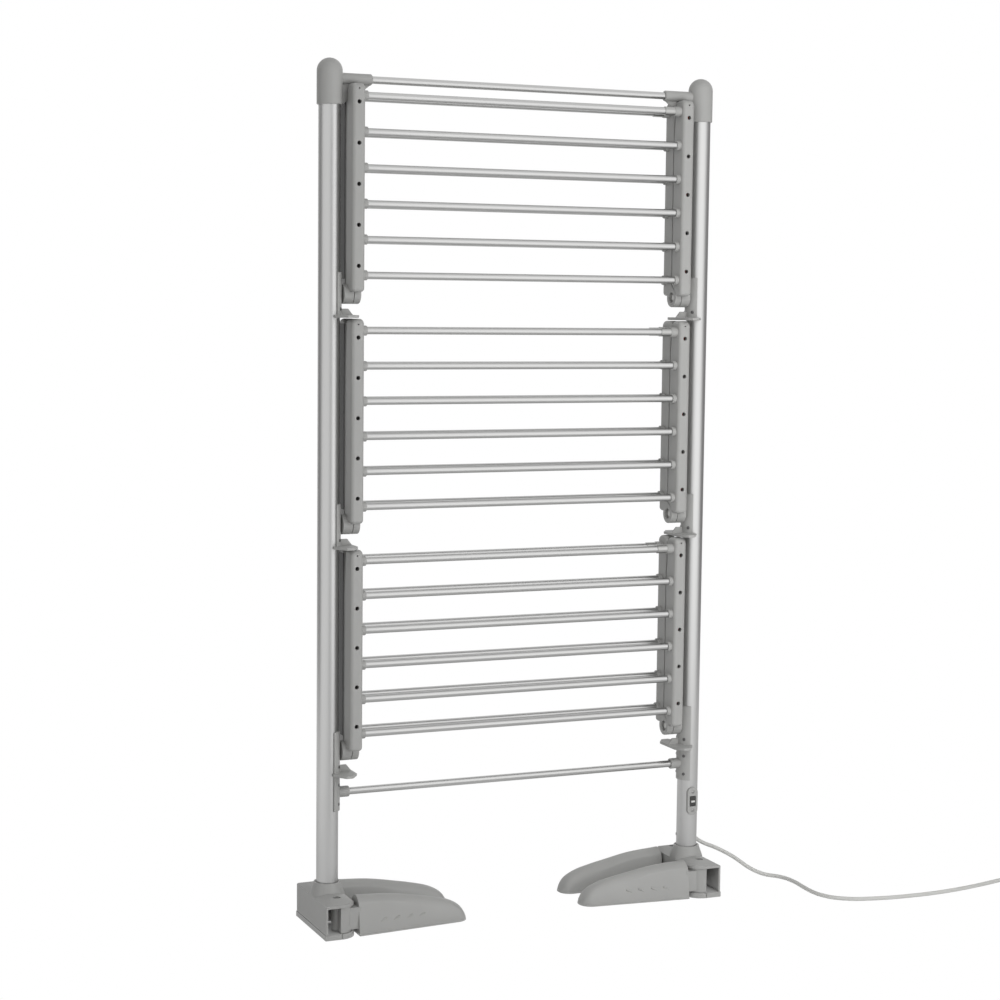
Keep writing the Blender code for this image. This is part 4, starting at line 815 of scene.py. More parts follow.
top_tube = cross_tube(0.31365, (0, 0, TOP_RAIL_Z))
dress(top_tube, "tube_across_top", "frame", "tube_metal", "top_rail")
low_tube = cross_tube(0.3156, (0, 0, BOTTOM_BAR_Z))
dress(low_tube, "tube_near_floor", "frame", "tube_metal", "bottom_bar")
print("cross tubes: 2")

# %% [markdown]
# ## The brackets
# Each hinge is held by a plastic bracket: half a sleeve on the post, a shelf that the opened wings
# rest on, and a web that stiffens the shelf. The sleeve is a plate with a curved outline, pushed up
# along the post. The lowest pair is longer and has a collar for the bar near the floor.

# %% Bracket parts
SADDLE_RADIUS = 0.02055
SADDLE_TOP_RISE = 0.0344
SHORT_HALF_ANGLE, LONG_HALF_ANGLE = math.radians(64), math.radians(74)
LONG_SADDLE_DROP = 0.098
SHELF_DROP, SHELF_THICKNESS = 0.034, 0.0045
SHELF_WEB_HALF, SHELF_WEB_HEIGHT, SHELF_WEB_SINK = 0.0018, 0.010, 0.002
RAIL_INNER_X, RAIL_OUTER_X = 0.28595, 0.30795
SHELF_TIP_X = RAIL_INNER_X + 0.008
COLLAR_RADIUS, COLLAR_END_X, COLLAR_SOCKET_DEPTH = 0.00915, 0.29945, 0.0165


def collar():
    """The socket for the bar near the floor, before its bore is cut."""
    profile = [
        (0, COLLAR_END_X),
        (COLLAR_RADIUS - 0.0014, COLLAR_END_X),
        (COLLAR_RADIUS - 0.0004, COLLAR_END_X + 0.0004),
        (COLLAR_RADIUS, COLLAR_END_X + 0.0014),
        (COLLAR_RADIUS, POST_X - POST_RADIUS),
        (0, POST_X - POST_RADIUS),
    ]
    return turned("X", profile, (0, 0, BOTTOM_BAR_Z), 48)


def bracket(pivot_z, long_saddle):
    """A right-hand bracket for the hinge at this height."""
    shelf_top = pivot_z - SHELF_DROP
    shelf_low = shelf_top - SHELF_THICKNESS
    half_angle = LONG_HALF_ANGLE if long_saddle else SHORT_HALF_ANGLE
    ends = (math.pi - half_angle, math.pi + half_angle)
    outer = arc((POST_X, 0), SADDLE_RADIUS, *ends, 28)
    inner = arc((POST_X, 0), POST_FIT - 0.001, *reversed(ends), 28)
    low = pivot_z - LONG_SADDLE_DROP if long_saddle else shelf_low
    high = pivot_z + SADDLE_TOP_RISE
    saddle = plate("Z", [*outer, *inner], (low, high))
    soften(saddle, 0.0006, 2, 50)

    tip = [(SHELF_TIP_X, 0.027), (SHELF_TIP_X + 0.0115, 0.044)]
    right_half = [*tip, (POST_X - 0.018, 0.044), (POST_X - 0.003, 0.022)]
    outline = [*right_half, *[(x, -y) for x, y in reversed(right_half)]]
    shelf = soften(plate("Z", outline, (shelf_low, shelf_top)), 0.0009, 3, 40)
    web_outline = [
        (SHELF_TIP_X + 0.001, shelf_top - SHELF_WEB_SINK),
        (POST_X - POST_RADIUS, shelf_top - SHELF_WEB_SINK),
        (POST_X - POST_RADIUS, shelf_top + SHELF_WEB_HEIGHT),
        (POST_X - 0.0325, shelf_top + SHELF_WEB_HEIGHT),
        (SHELF_TIP_X + 0.0015, shelf_top - 0.0002),
    ]
    web = soften(plate("Y", web_outline, (-SHELF_WEB_HALF, SHELF_WEB_HALF)), 0.0004, 2, 40)
    unite(saddle, shelf, web)
    if long_saddle:
        unite(saddle, collar())
        socket = (COLLAR_END_X - PAST, COLLAR_END_X + COLLAR_SOCKET_DEPTH)
        cut(saddle, cylinder("X", BAR_FIT, socket, (0, 0, BOTTOM_BAR_Z), 32))
    cut(saddle, cylinder("Z", POST_FIT, (low - PAST, high + PAST), POST_AXIS, POST_SIDES))
    return cut(saddle, cylinder("X", PIN_BORE, PIN_HOLE, (0, 0, pivot_z), 24))


for tier, pivot_z in PIVOT_HEIGHTS.items():
    piece = bracket(pivot_z, tier == "bottom")
    on_both_sides(piece, f"{tier}_shelf_bracket", "frame", "bracket_moulding", f"{tier}_bracket")

# %% [markdown]
# Small cross-head screws hold each sleeve to its post. One screw is turned with a round head, a cross
# is cut into it, and it is copied to every place on the sleeves.

# %% Screws on the brackets
SCREW_RADIUS, SCREW_RISE = 0.0027, 0.0013
SHANK_RADIUS, SHANK_LENGTH = 0.0014, 0.0016
CROSS_LENGTH, CROSS_WIDTH, CROSS_DEPTH = 0.0034, 0.0007, 0.0009
SCREW_ANGLES = (math.radians(41), math.radians(-41))
SCREW_DROPS = (0.0245, 0.0545, 0.0867)
SUNK = 0.0001


def pan_head_screw():
    """A screw head that stands on the origin and points along +X, with a short shank behind it."""
    dome = [(SCREW_RADIUS * a, SCREW_RISE * (0.35 + 0.65 * b)) for a, b in arc((0, 0), 1, 0, math.pi / 2, 6)]
    shank = [(0, -SHANK_LENGTH), (SHANK_RADIUS, -SHANK_LENGTH), (SHANK_RADIUS, 0), (SCREW_RADIUS, 0)]
    head = turned("X", [*shank, *dome], ORIGIN, 28)
    slots = []
    for width, height in ((CROSS_LENGTH, CROSS_WIDTH), (CROSS_WIDTH, CROSS_LENGTH)):
        low = (SCREW_RISE - CROSS_DEPTH, -width / 2, -height / 2)
        slots.append(block(low, (SCREW_RISE * 2, width / 2, height / 2)))
    return cut(head, *slots)


screw = pan_head_screw()
out = Matrix.Translation((SADDLE_RADIUS - SUNK, 0, 0))
for tier, pivot_z in PIVOT_HEIGHTS.items():
    heads = []
    for drop in SCREW_DROPS if tier == "bottom" else SCREW_DROPS[:1]:
        place = Matrix.Translation((POST_X, 0, pivot_z - drop))
        for angle in SCREW_ANGLES:
            heads.append(copied(screw, place @ Matrix.Rotation(math.pi + angle, 4, "Z") @ out))
    on_both_sides(joined(heads), f"{tier}_bracket_screws", "frame", "screw_steel")

# %% [markdown]
# ## The hinge pins
# A pin is a plain steel rod with a flat head. It is turned, and its head's rim is rounded in the
# profile itself.

# %% Hinge pins
KNUCKLE_INNER_X = 0.28615
PIN_RADIUS, PIN_END_X = 0.004, 0.3245
HEAD_RADIUS, HEAD_THICKNESS, HEAD_RIM = 0.005, 0.0017, 0.0005
RECESS_RADIUS, RECESS_DEPTH = 0.009, 0.005
head_back = KNUCKLE_INNER_X + RECESS_DEPTH - 0.0003
pin_profile = [
    (0, head_back - HEAD_THICKNESS),
    (HEAD_RADIUS - HEAD_RIM, head_back - HEAD_THICKNESS),
    (HEAD_RADIUS, head_back - HEAD_THICKNESS + HEAD_RIM),
    (HEAD_RADIUS, head_back),
    (PIN_RADIUS, head_back),
    (PIN_RADIUS, PIN_END_X),
    (0, PIN_END_X),
]
for tier, pivot_z in PIVOT_HEIGHTS.items():
    pin = turned("X", pin_profile, (0, 0, pivot_z), 40)
    on_both_sides(pin, f"{tier}_pivot", "frame", "pin_steel", f"{tier}_hinge_pin")

# %% [markdown]
# ## The rails of the wings
# A rail is a rounded plastic bar that holds the ends of six tubes. It starts as a block. The bevel
# operator gives it wide round corners at its ends and softer edges along its sides. Then come the
# hinge knuckle, the bosses round the tubes, and the holes in its outward face.

# %% The rail's bar
RAIL_GAP, RAIL_FACE = 0.0016, 0.0335
RAIL_LOW, RAIL_TOP = 0.003, 0.335
TOP_FILLET, LOW_FILLET, EDGE_ROUND = 0.010, 0.0062, 0.006
NEAR = 0.0001


def same(a, b):
    return abs(a - b) < NEAR


def both_at(a, b, axis, value):
    """Whether both ends of an edge lie at this place along the axis."""
    return same(getattr(a, axis), value) and same(getattr(b, axis), value)


def rail_bar():
    """The bar of a right-hand rail on the +Y side, with the hinge axis along X through the origin."""
    bar = block((RAIL_INNER_X, RAIL_GAP, RAIL_LOW), (RAIL_OUTER_X, RAIL_FACE, RAIL_TOP))

    def across_the_top(a, b):
        return both_at(a, b, "z", RAIL_TOP) and same(a.y, b.y)

    def across_the_low_face(a, b):
        return both_at(a, b, "z", RAIL_LOW) and both_at(a, b, "y", RAIL_FACE)

    def round_the_end(a, b):
        return same(a.x, b.x) and not both_at(a, b, "y", RAIL_GAP)

    round_edges(bar, TOP_FILLET, 10, across_the_top)
    round_edges(bar, LOW_FILLET, 8, across_the_low_face)
    return round_edges(bar, EDGE_ROUND, 6, round_the_end)


# %% [markdown]
# The two wings of a tier share one hinge pin, so their knuckles stand side by side: the front wing
# has the outer one and the back wing the inner one, with a small brace above it. Each rail is notched
# where the other one's knuckle and brace turn.

# %% Knuckles, bosses and holes
KNUCKLE_RADIUS, KNUCKLE_FIT = 0.0164, 0.0170
INNER_KNUCKLE_END = 0.29775
OUTER_KNUCKLE_START, OUTER_KNUCKLE_END = 0.29845, 0.31495
NOTCH_X = INNER_KNUCKLE_END + 0.00035
BRACE = [(RAIL_GAP, 0.0220), (-0.0109, 0.0122), (-0.004, 0), (RAIL_GAP, 0)]
BRACE_NOTCH = [(0.0009, 0.0230), (0.0116, 0.0130), (0.004, 0), (0.0009, 0)]
CAVITY_HALF_WIDTH, CAVITY_LOW, CAVITY_TOP = 0.007, 0.02175, 0.32425
ROD_Y = 0.0203
ROD_RISES = [0.030 + 0.0572 * index for index in range(6)]
ROD_FIT = 0.00635
BOSS_RADIUS, BOSS_LENGTH, LONG_BOSS_LENGTH = 0.00825, 0.007, 0.012
SLEEVE_RADIUS, SLEEVE_LENGTH = 0.0073, 0.0185
HOLE_X = 0.297
HOLE_RISES = (0.0446, 0.110, 0.175, 0.240, 0.305)
HOLE_RADIUS, HOLE_DEPTH = 0.0035, 0.0095
PINHOLE_RISE, PINHOLE_RADIUS, PINHOLE_DEPTH = 0.326, 0.0014, 0.005


def mouth(radius, place, rim, way=1):
    """A rounded rim for a half section. The way is 1 at the piece's start and -1 at its end."""
    turn = rim * 0.3
    points = [(radius - rim, place), (radius - turn, place + way * turn), (radius, place + way * rim)]
    return points[::way]


def disc(ends, rim=0.0008):
    """A knuckle along X with rounded rims."""
    rims = [*mouth(KNUCKLE_RADIUS, ends[0], rim), *mouth(KNUCKLE_RADIUS, ends[1], rim, -1)]
    return turned("X", [(0, ends[0]), *rims, (0, ends[1])], ORIGIN, 64)


def boss(rise, length):
    """The ring round a tube, with a rounded mouth."""
    start, end = RAIL_INNER_X - length, RAIL_INNER_X + 0.004
    profile = [(0, start), *mouth(BOSS_RADIUS, start, 0.001), (BOSS_RADIUS, end), (0, end)]
    return turned("X", profile, (0, ROD_Y, rise), 40)


def rail(outer_knuckle, with_sleeve):
    """A finished right-hand rail on the +Y side."""
    piece = rail_bar()
    if outer_knuckle:
        notch = (RAIL_INNER_X - PAST, NOTCH_X)
        cut(piece, cylinder("X", KNUCKLE_FIT, notch, ORIGIN, 64), plate("X", BRACE_NOTCH, notch))
        unite(piece, disc((OUTER_KNUCKLE_START, OUTER_KNUCKLE_END)))
    else:
        cut(piece, cylinder("X", KNUCKLE_FIT, (NOTCH_X, RAIL_OUTER_X + PAST), ORIGIN, 64))
        knuckle = (KNUCKLE_INNER_X, INNER_KNUCKLE_END)
        brace = soften(plate("X", BRACE, knuckle), 0.0005, 2, 40)
        unite(piece, disc(knuckle), brace)
        recess = (KNUCKLE_INNER_X - PAST, KNUCKLE_INNER_X + RECESS_DEPTH)
        cut(piece, cylinder("X", RECESS_RADIUS, recess, ORIGIN, 40))
    cut(piece, cylinder("X", PIN_BORE, (RAIL_INNER_X - PAST, OUTER_KNUCKLE_END + PAST), ORIGIN, 32))
    cavity = block(
        (RAIL_INNER_X + 0.007, ROD_Y - CAVITY_HALF_WIDTH, CAVITY_LOW),
        (RAIL_OUTER_X - 0.0025, ROD_Y + CAVITY_HALF_WIDTH, CAVITY_TOP),
    )
    cut(piece, cavity)
    bore = (RAIL_INNER_X - LONG_BOSS_LENGTH - PAST, RAIL_INNER_X + 0.009)
    for rise in ROD_RISES:
        long_one = with_sleeve and rise == ROD_RISES[-1]
        unite(piece, boss(rise, LONG_BOSS_LENGTH if long_one else BOSS_LENGTH))
        cut(piece, cylinder("X", ROD_FIT, bore, (0, ROD_Y, rise), 40))
    for rise in HOLE_RISES:
        sink = (RAIL_FACE - HOLE_DEPTH, RAIL_FACE + PAST)
        cut(piece, cylinder("Y", HOLE_RADIUS, sink, (HOLE_X, 0, rise), 28))
    small = (RAIL_FACE - PINHOLE_DEPTH, RAIL_FACE + PAST)
    cut(piece, cylinder("Y", PINHOLE_RADIUS, small, (HOLE_X, 0, PINHOLE_RISE), 16))
    return close_up(piece)


# %% Rails on every wing
FACES = (("front", True), ("back", False))
WINGS = [(tier, face, flip_y, z) for tier, z in PIVOT_HEIGHTS.items() for face, flip_y in FACES]
for side, flip_x in SIDES:
    for face, flip_y in FACES:
        original = rail(outer_knuckle=face == "front", with_sleeve=side == "right")
        for tier, pivot_z in PIVOT_HEIGHTS.items():
            copy = copied(original, mirror_matrix(flip_x, flip_y, (0, 0, pivot_z)))
            name, node = f"{tier}_{face}_side_bar_{side}", f"{tier}_{face}_rail_{side}"
            dress(copy, name, f"{tier}_{face}_wing", "grey_moulding", node)
        bpy.data.objects.remove(original)
print(f"rails: {len(WINGS) * len(SIDES)}, {len(copy.data.polygons)} faces each")

# %% [markdown]
# The highest tube of each wing has a shiny steel ring against the right rail. On the back wings a dark
# strip on the rails' outward sides is painted shade, for the shade between the post and the front rail.

# %% Rings and painted shade strips
RING_BORE, RING_RIM = 0.00615, 0.0008
SHADE_STRIP_LOW, SHADE_STRIP_TOP = 0.024, 0.327
SHADE_STRIP_NEAR, SHADE_STRIP_FAR = 0.0035, 0.027
SHADE_STRIP_RISE, SHADE_STRIP_SET_IN = 0.0008, 0.0004

ring_end = RAIL_INNER_X - LONG_BOSS_LENGTH - 0.0001
ring_start = ring_end - SLEEVE_LENGTH
ring_mouth = mouth(SLEEVE_RADIUS, ring_start, RING_RIM)
ring_profile = [(RING_BORE, ring_start), *ring_mouth, (SLEEVE_RADIUS, ring_end), (RING_BORE, ring_end)]
for tier, face, flip_y, pivot_z in WINGS:
    y = -ROD_Y if flip_y else ROD_Y
    ring = turned("X", ring_profile, (0, y, pivot_z + ROD_RISES[-1]), 40)
    dress(ring, f"{tier}_{face}_tube_ring", f"{tier}_{face}_wing", "pin_steel")
for tier, pivot_z in PIVOT_HEIGHTS.items():
    # A thin dark strip on the back rail's outward side: painted shade between the post and the front rail
    cover = block(
        (RAIL_OUTER_X - SHADE_STRIP_SET_IN, SHADE_STRIP_NEAR, pivot_z + SHADE_STRIP_LOW),
        (RAIL_OUTER_X + SHADE_STRIP_RISE, SHADE_STRIP_FAR, pivot_z + SHADE_STRIP_TOP),
    )
    soften(cover, 0.0003, 2, 40)
    on_both_sides(cover, f"{tier}_back_cover", f"{tier}_back_wing", "cover_plastic")

# %% [markdown]
# ## The heated tubes
# Six equal tubes cross each wing. One is made with its wall, copied to every height, and the six
# become one piece, as the wing's tubes are one set. The heating cable inside them is hardly seen, so
# the plain node stays and gets a proper finish.

# %% Tubes and heating cables
TUBE_HALF_LENGTH = 0.29895
one_tube = cross_tube(TUBE_HALF_LENGTH, ORIGIN)
for tier, face, flip_y, pivot_z in WINGS:
    y = -ROD_Y if flip_y else ROD_Y
    places = [Matrix.Translation((0, y, pivot_z + rise)) for rise in ROD_RISES]
    tubes = joined([copied(one_tube, place) for place in places])
    dress(tubes, f"{tier}_{face}_tubes", f"{tier}_{face}_wing", "tube_metal", f"{tier}_{face}_rods")
    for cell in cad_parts[f"{tier}_{face}_heater"].material_slots:
        cell.material = bpy.data.materials["heater_sheath"]
bpy.data.objects.remove(one_tube)
print(f"tubes: {len(WINGS) * len(ROD_RISES)}")

# %% [markdown]
# ## The feet
# A foot is a hollow moulded cover on a flat base plate. Seen from above, its inner side is rounded
# round the two leg pivots and its outer side is square. The plan is drawn once, pushed up, and kept
# only inside a gently arched roof. The socket for the post is turned, with a cone round its foot.

# %% Plan of a foot
LUG_RADIUS = 0.0275
PIVOT_Y = 0.050
FOOT_LOW = 0.00935
ROOF_EDGE, ROOF_RIDGE = 0.055, 0.063
ROOF_SLOPE_START, ROOF_SLOPE_END, ROOF_SLOPE_DROP = 0.056, 0.090, 0.0103
FOOT_WALL, ROOF_WALL = 0.0022, 0.0025


def foot_plan(radius, corner):
    """The outline of a foot seen from above, drawn out or in by its radius."""
    right, far = POST_X + radius - corner, PIVOT_Y + radius - corner
    return [
        *arc((POST_X, -PIVOT_Y), radius, math.pi, 3 * math.pi / 2, 16),
        *arc((right, -far), corner, -math.pi / 2, 0, 5),
        *arc((right, far), corner, 0, math.pi / 2, 5),
        *arc((POST_X, PIVOT_Y), radius, math.pi / 2, math.pi, 16),
    ]


def foot_block(inset, roof_drop, low):
    """The plan pushed up and kept under the arched roof, which slopes down at the front and the back."""
    rise = ROOF_RIDGE - ROOF_EDGE
    ridge = ROOF_RIDGE - roof_drop
    side = LUG_RADIUS + PAST
    roof_radius = (LUG_RADIUS**2 + rise**2) / (2 * rise)
    half_angle = math.asin(side / roof_radius)
    ends = (math.pi / 2 + half_angle, math.pi / 2 - half_angle)
    roof = arc((POST_X, ridge - roof_radius), roof_radius, *ends, 24)
    under = plate("Y", [*roof, (POST_X + side, low), (POST_X - side, low)], (-0.09, 0.09))
    body = plate("Z", foot_plan(LUG_RADIUS - inset, 0.0012), (low, ROOF_RIDGE + PAST))
    keep_inside(body, under)
    for side_y in (-1, 1):
        start, end = side_y * ROOF_SLOPE_START, side_y * ROOF_SLOPE_END
        above = [(start, ridge), (end, ridge - ROOF_SLOPE_DROP), (end, ridge + 0.01), (start, ridge + 0.01)]
        cut(body, plate("X", above, (POST_X - side, POST_X + side)))
    return body


# %% Foot covers
BOSS_TOP, BOSS_TOP_RADIUS, BOSS_FOOT_RADIUS = 0.078, 0.0225, 0.029
SOCKET_LOW = 0.0155
POCKET_TOP, POCKET_END = 0.052, 0.0795
HUB_RADIUS = 0.009
PIN_RECESS_RADIUS, PIN_RECESS_DEPTH = 0.0065, 0.0035

cover = soften(foot_block(0, 0, FOOT_LOW), 0.0011, 3, 40)
cut(cover, foot_block(FOOT_WALL, ROOF_WALL, FOOT_LOW - PAST))
socket_profile = [
    (POST_RADIUS, SOCKET_LOW),
    (SADDLE_RADIUS, SOCKET_LOW),
    (SADDLE_RADIUS, ROOF_EDGE),
    (BOSS_FOOT_RADIUS, ROOF_EDGE),
    (BOSS_FOOT_RADIUS, ROOF_EDGE + 0.0025),
    (BOSS_TOP_RADIUS, BOSS_TOP - 0.0020),
    (BOSS_TOP_RADIUS - 0.0003, BOSS_TOP - 0.0004),
    (BOSS_TOP_RADIUS - 0.0012, BOSS_TOP),
    (POST_RADIUS, BOSS_TOP),
]
socket = turned("Z", socket_profile, POST_AXIS, POST_SIDES)
between_pivots = block(
    (POST_X - LUG_RADIUS, -PIVOT_Y, FOOT_LOW), (POST_X + LUG_RADIUS, PIVOT_Y, BOSS_TOP + PAST)
)
unite(cover, keep_inside(socket, between_pivots))
for side_y in (-1, 1):
    pivot = (POST_X, side_y * PIVOT_Y, 0)
    unite(cover, cylinder("Z", HUB_RADIUS, (POCKET_TOP, ROOF_RIDGE - 0.00125), pivot, 32))
    reach = sorted((side_y * (PIVOT_Y - 0.001), side_y * POCKET_END))
    pocket = block(
        (POST_X - LUG_RADIUS - PAST, reach[0], FOOT_LOW - PAST),
        (POST_X + LUG_RADIUS - FOOT_WALL - 0.0015, reach[1], POCKET_TOP),
    )
    recess = (ROOF_RIDGE - PIN_RECESS_DEPTH, ROOF_RIDGE + PAST)
    cut(
        cover,
        pocket,
        cylinder("Z", PIN_RECESS_RADIUS, recess, pivot, 40),
        cylinder("Z", PIN_BORE, (POCKET_TOP - PAST, ROOF_RIDGE + PAST), pivot, 32),
    )
for radius, low in ((POST_FIT, FOOT_LOW - PAST), (POST_FIT + 0.0009, BOSS_TOP - 0.0022)):
    cut(cover, cylinder("Z", radius, (low, BOSS_TOP + PAST), POST_AXIS, POST_SIDES))
on_both_sides(cover, "foot_shell", "frame", "grey_moulding", "foot_cover")

# %% [markdown]
# The base plate follows the same plan with a small lip, a slit in its front and back edges where two
# halves of the moulding meet, and a spigot that keeps the post in place.

# %% Base plates
BASE_THICKNESS = 0.009
BASE_LIP = 0.001
SPIGOT_RADIUS, SPIGOT_TOP = 0.01615, 0.021
PIN_HOLE_DEPTH = 0.0055
SLIT_HALF_WIDTH, SLIT_DEPTH = 0.0006, 0.003

base = plate("Z", foot_plan(LUG_RADIUS + BASE_LIP, 0.0015), (0, BASE_THICKNESS))
soften(base, 0.0008, 3, 40)
unite(base, cylinder("Z", SPIGOT_RADIUS, (BASE_THICKNESS / 2, SPIGOT_TOP), POST_AXIS, 48))
for side_y in (-1, 1):
    hole = (BASE_THICKNESS - PIN_HOLE_DEPTH, BASE_THICKNESS + PAST)
    cut(base, cylinder("Z", PIN_BORE, hole, (POST_X, side_y * PIVOT_Y, 0), 32))
    edge = side_y * (PIVOT_Y + LUG_RADIUS + BASE_LIP)
    reach = sorted((edge - side_y * SLIT_DEPTH, edge + side_y * PAST))
    slit_low = (POST_X - SLIT_HALF_WIDTH, reach[0], -PAST)
    cut(base, block(slit_low, (POST_X + SLIT_HALF_WIDTH, reach[1], 0.012)))
on_both_sides(base, "foot_plate", "frame", "grey_moulding", "foot_base")

# %% [markdown]
# The legs turn on steel pins that stand in the foot. Only their round heads show, sunk in the roof.

# %% Leg pivot pins
LEG_PIN_LOW = 0.00385
head_low = ROOF_RIDGE - PIN_RECESS_DEPTH + 0.00035
leg_pin_profile = [
    (0, LEG_PIN_LOW),
    (PIN_RADIUS, LEG_PIN_LOW),
    (PIN_RADIUS, head_low),
    (HEAD_RADIUS, head_low),
    (HEAD_RADIUS, head_low + HEAD_THICKNESS - HEAD_RIM),
    (HEAD_RADIUS - HEAD_RIM, head_low + HEAD_THICKNESS),
    (0, head_low + HEAD_THICKNESS),
]
for face, y in (("front", -PIVOT_Y), ("back", PIVOT_Y)):
    pin = turned("Z", leg_pin_profile, (POST_X, y, 0), 40)
    on_both_sides(pin, f"{face}_foot_pivot", "frame", "screw_steel", f"leg_pin_{face}")

# %% [markdown]
# ## The legs
# A leg is a long hollow moulding like a shoe: a flat side, a crisp ridge near the foot that melts
# into a round nose, and a thin lip on the floor. Its section changes all along, so it starts as a
# grid primitive. One direction of the grid runs along the leg and the other runs round its section,
# and every point is put in its place by the two shares that it had on the grid.

# %% Sections of a leg
LEG_ROOT_X = 0.032
LEG_LENGTH = 0.198
LEG_HEIGHT = 0.064
ROOT_HALF_WIDTH, NOSE_RADIUS, NOSE_DRIFT = 0.0238, 0.020, 0.008
RIDGE_WIDTH_SHARE, CROWN_WIDTH_SHARE, CROWN_RISE_SHARE = 0.72, 0.36, 0.72
LIP_HEIGHT, LIP_OUT = 0.0028, 0.0012
RIDGE_SOFTNESS = 0.0013
# Along the leg: the crest's height and the side ridge's, as shares of the root's height
LEG_STATION_SHARES = (
    (0.0, 1.0, 0.85),
    (0.30, 0.938, 0.80),
    (0.57, 0.797, 0.60),
    (0.68, 0.727, 0.52),
    (0.80, 0.633, 0.44),
    (0.88, 0.531, 0.36),
    (0.935, 0.42, 0.27),
    (0.97, 0.28, 0.18),
    (0.995, 0.12, 0.08),
)
SIDE_POINTS, CROWN_POINTS = 12, 10
station_curve = np.array(smooth_route(LEG_STATION_SHARES))


def eased(value, low, high):
    """Zero below low and one above high, with a soft start and end."""
    share = min(1, max(0, (value - low) / (high - low)))
    return share * share * (3 - 2 * share)


def half_section(share):
    """The right half of a section, from the floor up to the crest, as (y, z) points."""
    stations, crests, ridges = station_curve.T
    crest = LEG_HEIGHT * np.interp(share, stations, crests)
    ridge = LEG_HEIGHT * np.interp(share, stations, ridges)
    along = share * LEG_LENGTH
    nose_start = LEG_LENGTH - NOSE_RADIUS
    width = ROOT_HALF_WIDTH + (NOSE_RADIUS - ROOT_HALF_WIDTH) * min(1, along / nose_start)
    if along > nose_start:
        width *= math.sqrt(max(0, 1 - ((along - nose_start) / NOSE_RADIUS) ** 2))
    floor = 0.001 + 0.002 * share
    ridge = max(ridge, floor + 0.001)
    round_share = eased(share, 0.45, 0.85)
    lip = min(LIP_HEIGHT, (crest - floor) / 2)
    out = LIP_OUT * min(1, width / 0.01)
    points = [(width + out, floor), (width + out, floor + lip * 0.75), (width, floor + lip)]
    corners = [(width, floor + lip), (width * RIDGE_WIDTH_SHARE, ridge)]
    crown_middle = (width * CROWN_WIDTH_SHARE, ridge + (crest - ridge) * CROWN_RISE_SHARE)
    flat = [corners[0]]
    for step in range(1, SIDE_POINTS + 1):
        t = step / SIDE_POINTS
        side_y = width * (1 - (1 - RIDGE_WIDTH_SHARE) * t**1.35)
        flat.append((side_y, floor + lip + (ridge - floor - lip) * t))
    for step in range(1, CROWN_POINTS + 1):
        t = step / CROWN_POINTS
        (y0, z0), (y1, z1), (y2, z2) = corners[1], crown_middle, (0, crest)
        bend_y, bend_z = 2 * y1 - (y0 + y2) / 2, 2 * z1 - (z0 + z2) / 2
        flat.append((
            (1 - t) ** 2 * y0 + 2 * t * (1 - t) * bend_y + t**2 * y2,
            (1 - t) ** 2 * z0 + 2 * t * (1 - t) * bend_z + t**2 * z2,
        ))
    corner = Vector(corners[1])
    before = corner + (Vector(flat[SIDE_POINTS - 1]) - corner).normalized() * RIDGE_SOFTNESS
    after = corner + (Vector(flat[SIDE_POINTS + 1]) - corner).normalized() * RIDGE_SOFTNESS
    flat[SIDE_POINTS : SIDE_POINTS + 1] = [before, (before + corner * 2 + after) / 4, after]
    total = len(flat) - 1
    for step in range(1, total + 1):
        angle = math.pi / 2 * step / total
        round_y = width * math.cos(angle) ** 0.80
        round_z = floor + lip + (crest - floor - lip) * math.sin(angle) ** 0.92
        y, z = flat[step]
        points.append((y + (round_y - y) * round_share, z + (round_z - z) * round_share))
    points[-1] = (0, points[-1][1])
    return points


def leg_ring(share):
    """The whole section round, with the nose drifting outwards."""
    half = half_section(share)
    ring = [*half, *[(-y, z) for y, z in reversed(half[:-1])]]
    return [(y + NOSE_DRIFT * share, z) for y, z in ring]


# %% The beam of a leg
STRAIGHT_ROWS, NOSE_ROWS = 30, 22
LAST_SHARE = 0.9985
nose_from = 1 - 1.25 * NOSE_RADIUS / LEG_LENGTH
shares = [nose_from * step / STRAIGHT_ROWS for step in range(STRAIGHT_ROWS)]
for step in range(NOSE_ROWS + 1):
    shares.append(nose_from + (LAST_SHARE - nose_from) * math.sin(math.pi / 2 * step / NOSE_ROWS))
rings = [leg_ring(share) for share in shares]
round_count = len(rings[0])

start_afresh()
bpy.ops.mesh.primitive_grid_add(x_subdivisions=len(shares) - 1, y_subdivisions=round_count, size=2)
beam = bpy.context.object
for vertex in beam.data.vertices:
    row = round((vertex.co.x + 1) / 2 * (len(shares) - 1))
    spot = round((vertex.co.y + 1) / 2 * round_count) % round_count
    vertex.co = (-LEG_ROOT_X - shares[row] * LEG_LENGTH, *rings[row][spot])
take(beam)
bpy.ops.object.mode_set(mode="EDIT")
bpy.ops.mesh.select_all(action="SELECT")
bpy.ops.mesh.remove_doubles(threshold=MERGE)
bpy.ops.mesh.select_all(action="DESELECT")
bpy.ops.mesh.select_non_manifold(extend=False)
bpy.ops.mesh.edge_face_add()
bpy.ops.mesh.select_all(action="SELECT")
bpy.ops.mesh.normals_make_consistent(inside=False)
bpy.ops.object.mode_set(mode="OBJECT")
print("leg beam:", len(beam.data.polygons), "faces")

# %% [markdown]
# At its root the leg has a knuckle, a quarter of a drum that turns in the foot's pocket. Four short
# raised strokes on the leg's side give the hand a grip.

# %% Knuckle and grip strokes
LEG_KNUCKLE_RADIUS = 0.0248
LEG_KNUCKLE_ENDS = KNUCKLE_LOW, KNUCKLE_HIGH = 0.0095, 0.051
NECK_WIDTH, NECK_SET_IN = 0.019, 0.003
STROKE_SHARES = (0.217, 0.334, 0.455, 0.568)
STROKE_HEIGHT = 0.0235
STROKE_LENGTH, STROKE_RADIUS = 0.012, 0.0014
STROKE_TILT = math.radians(23)

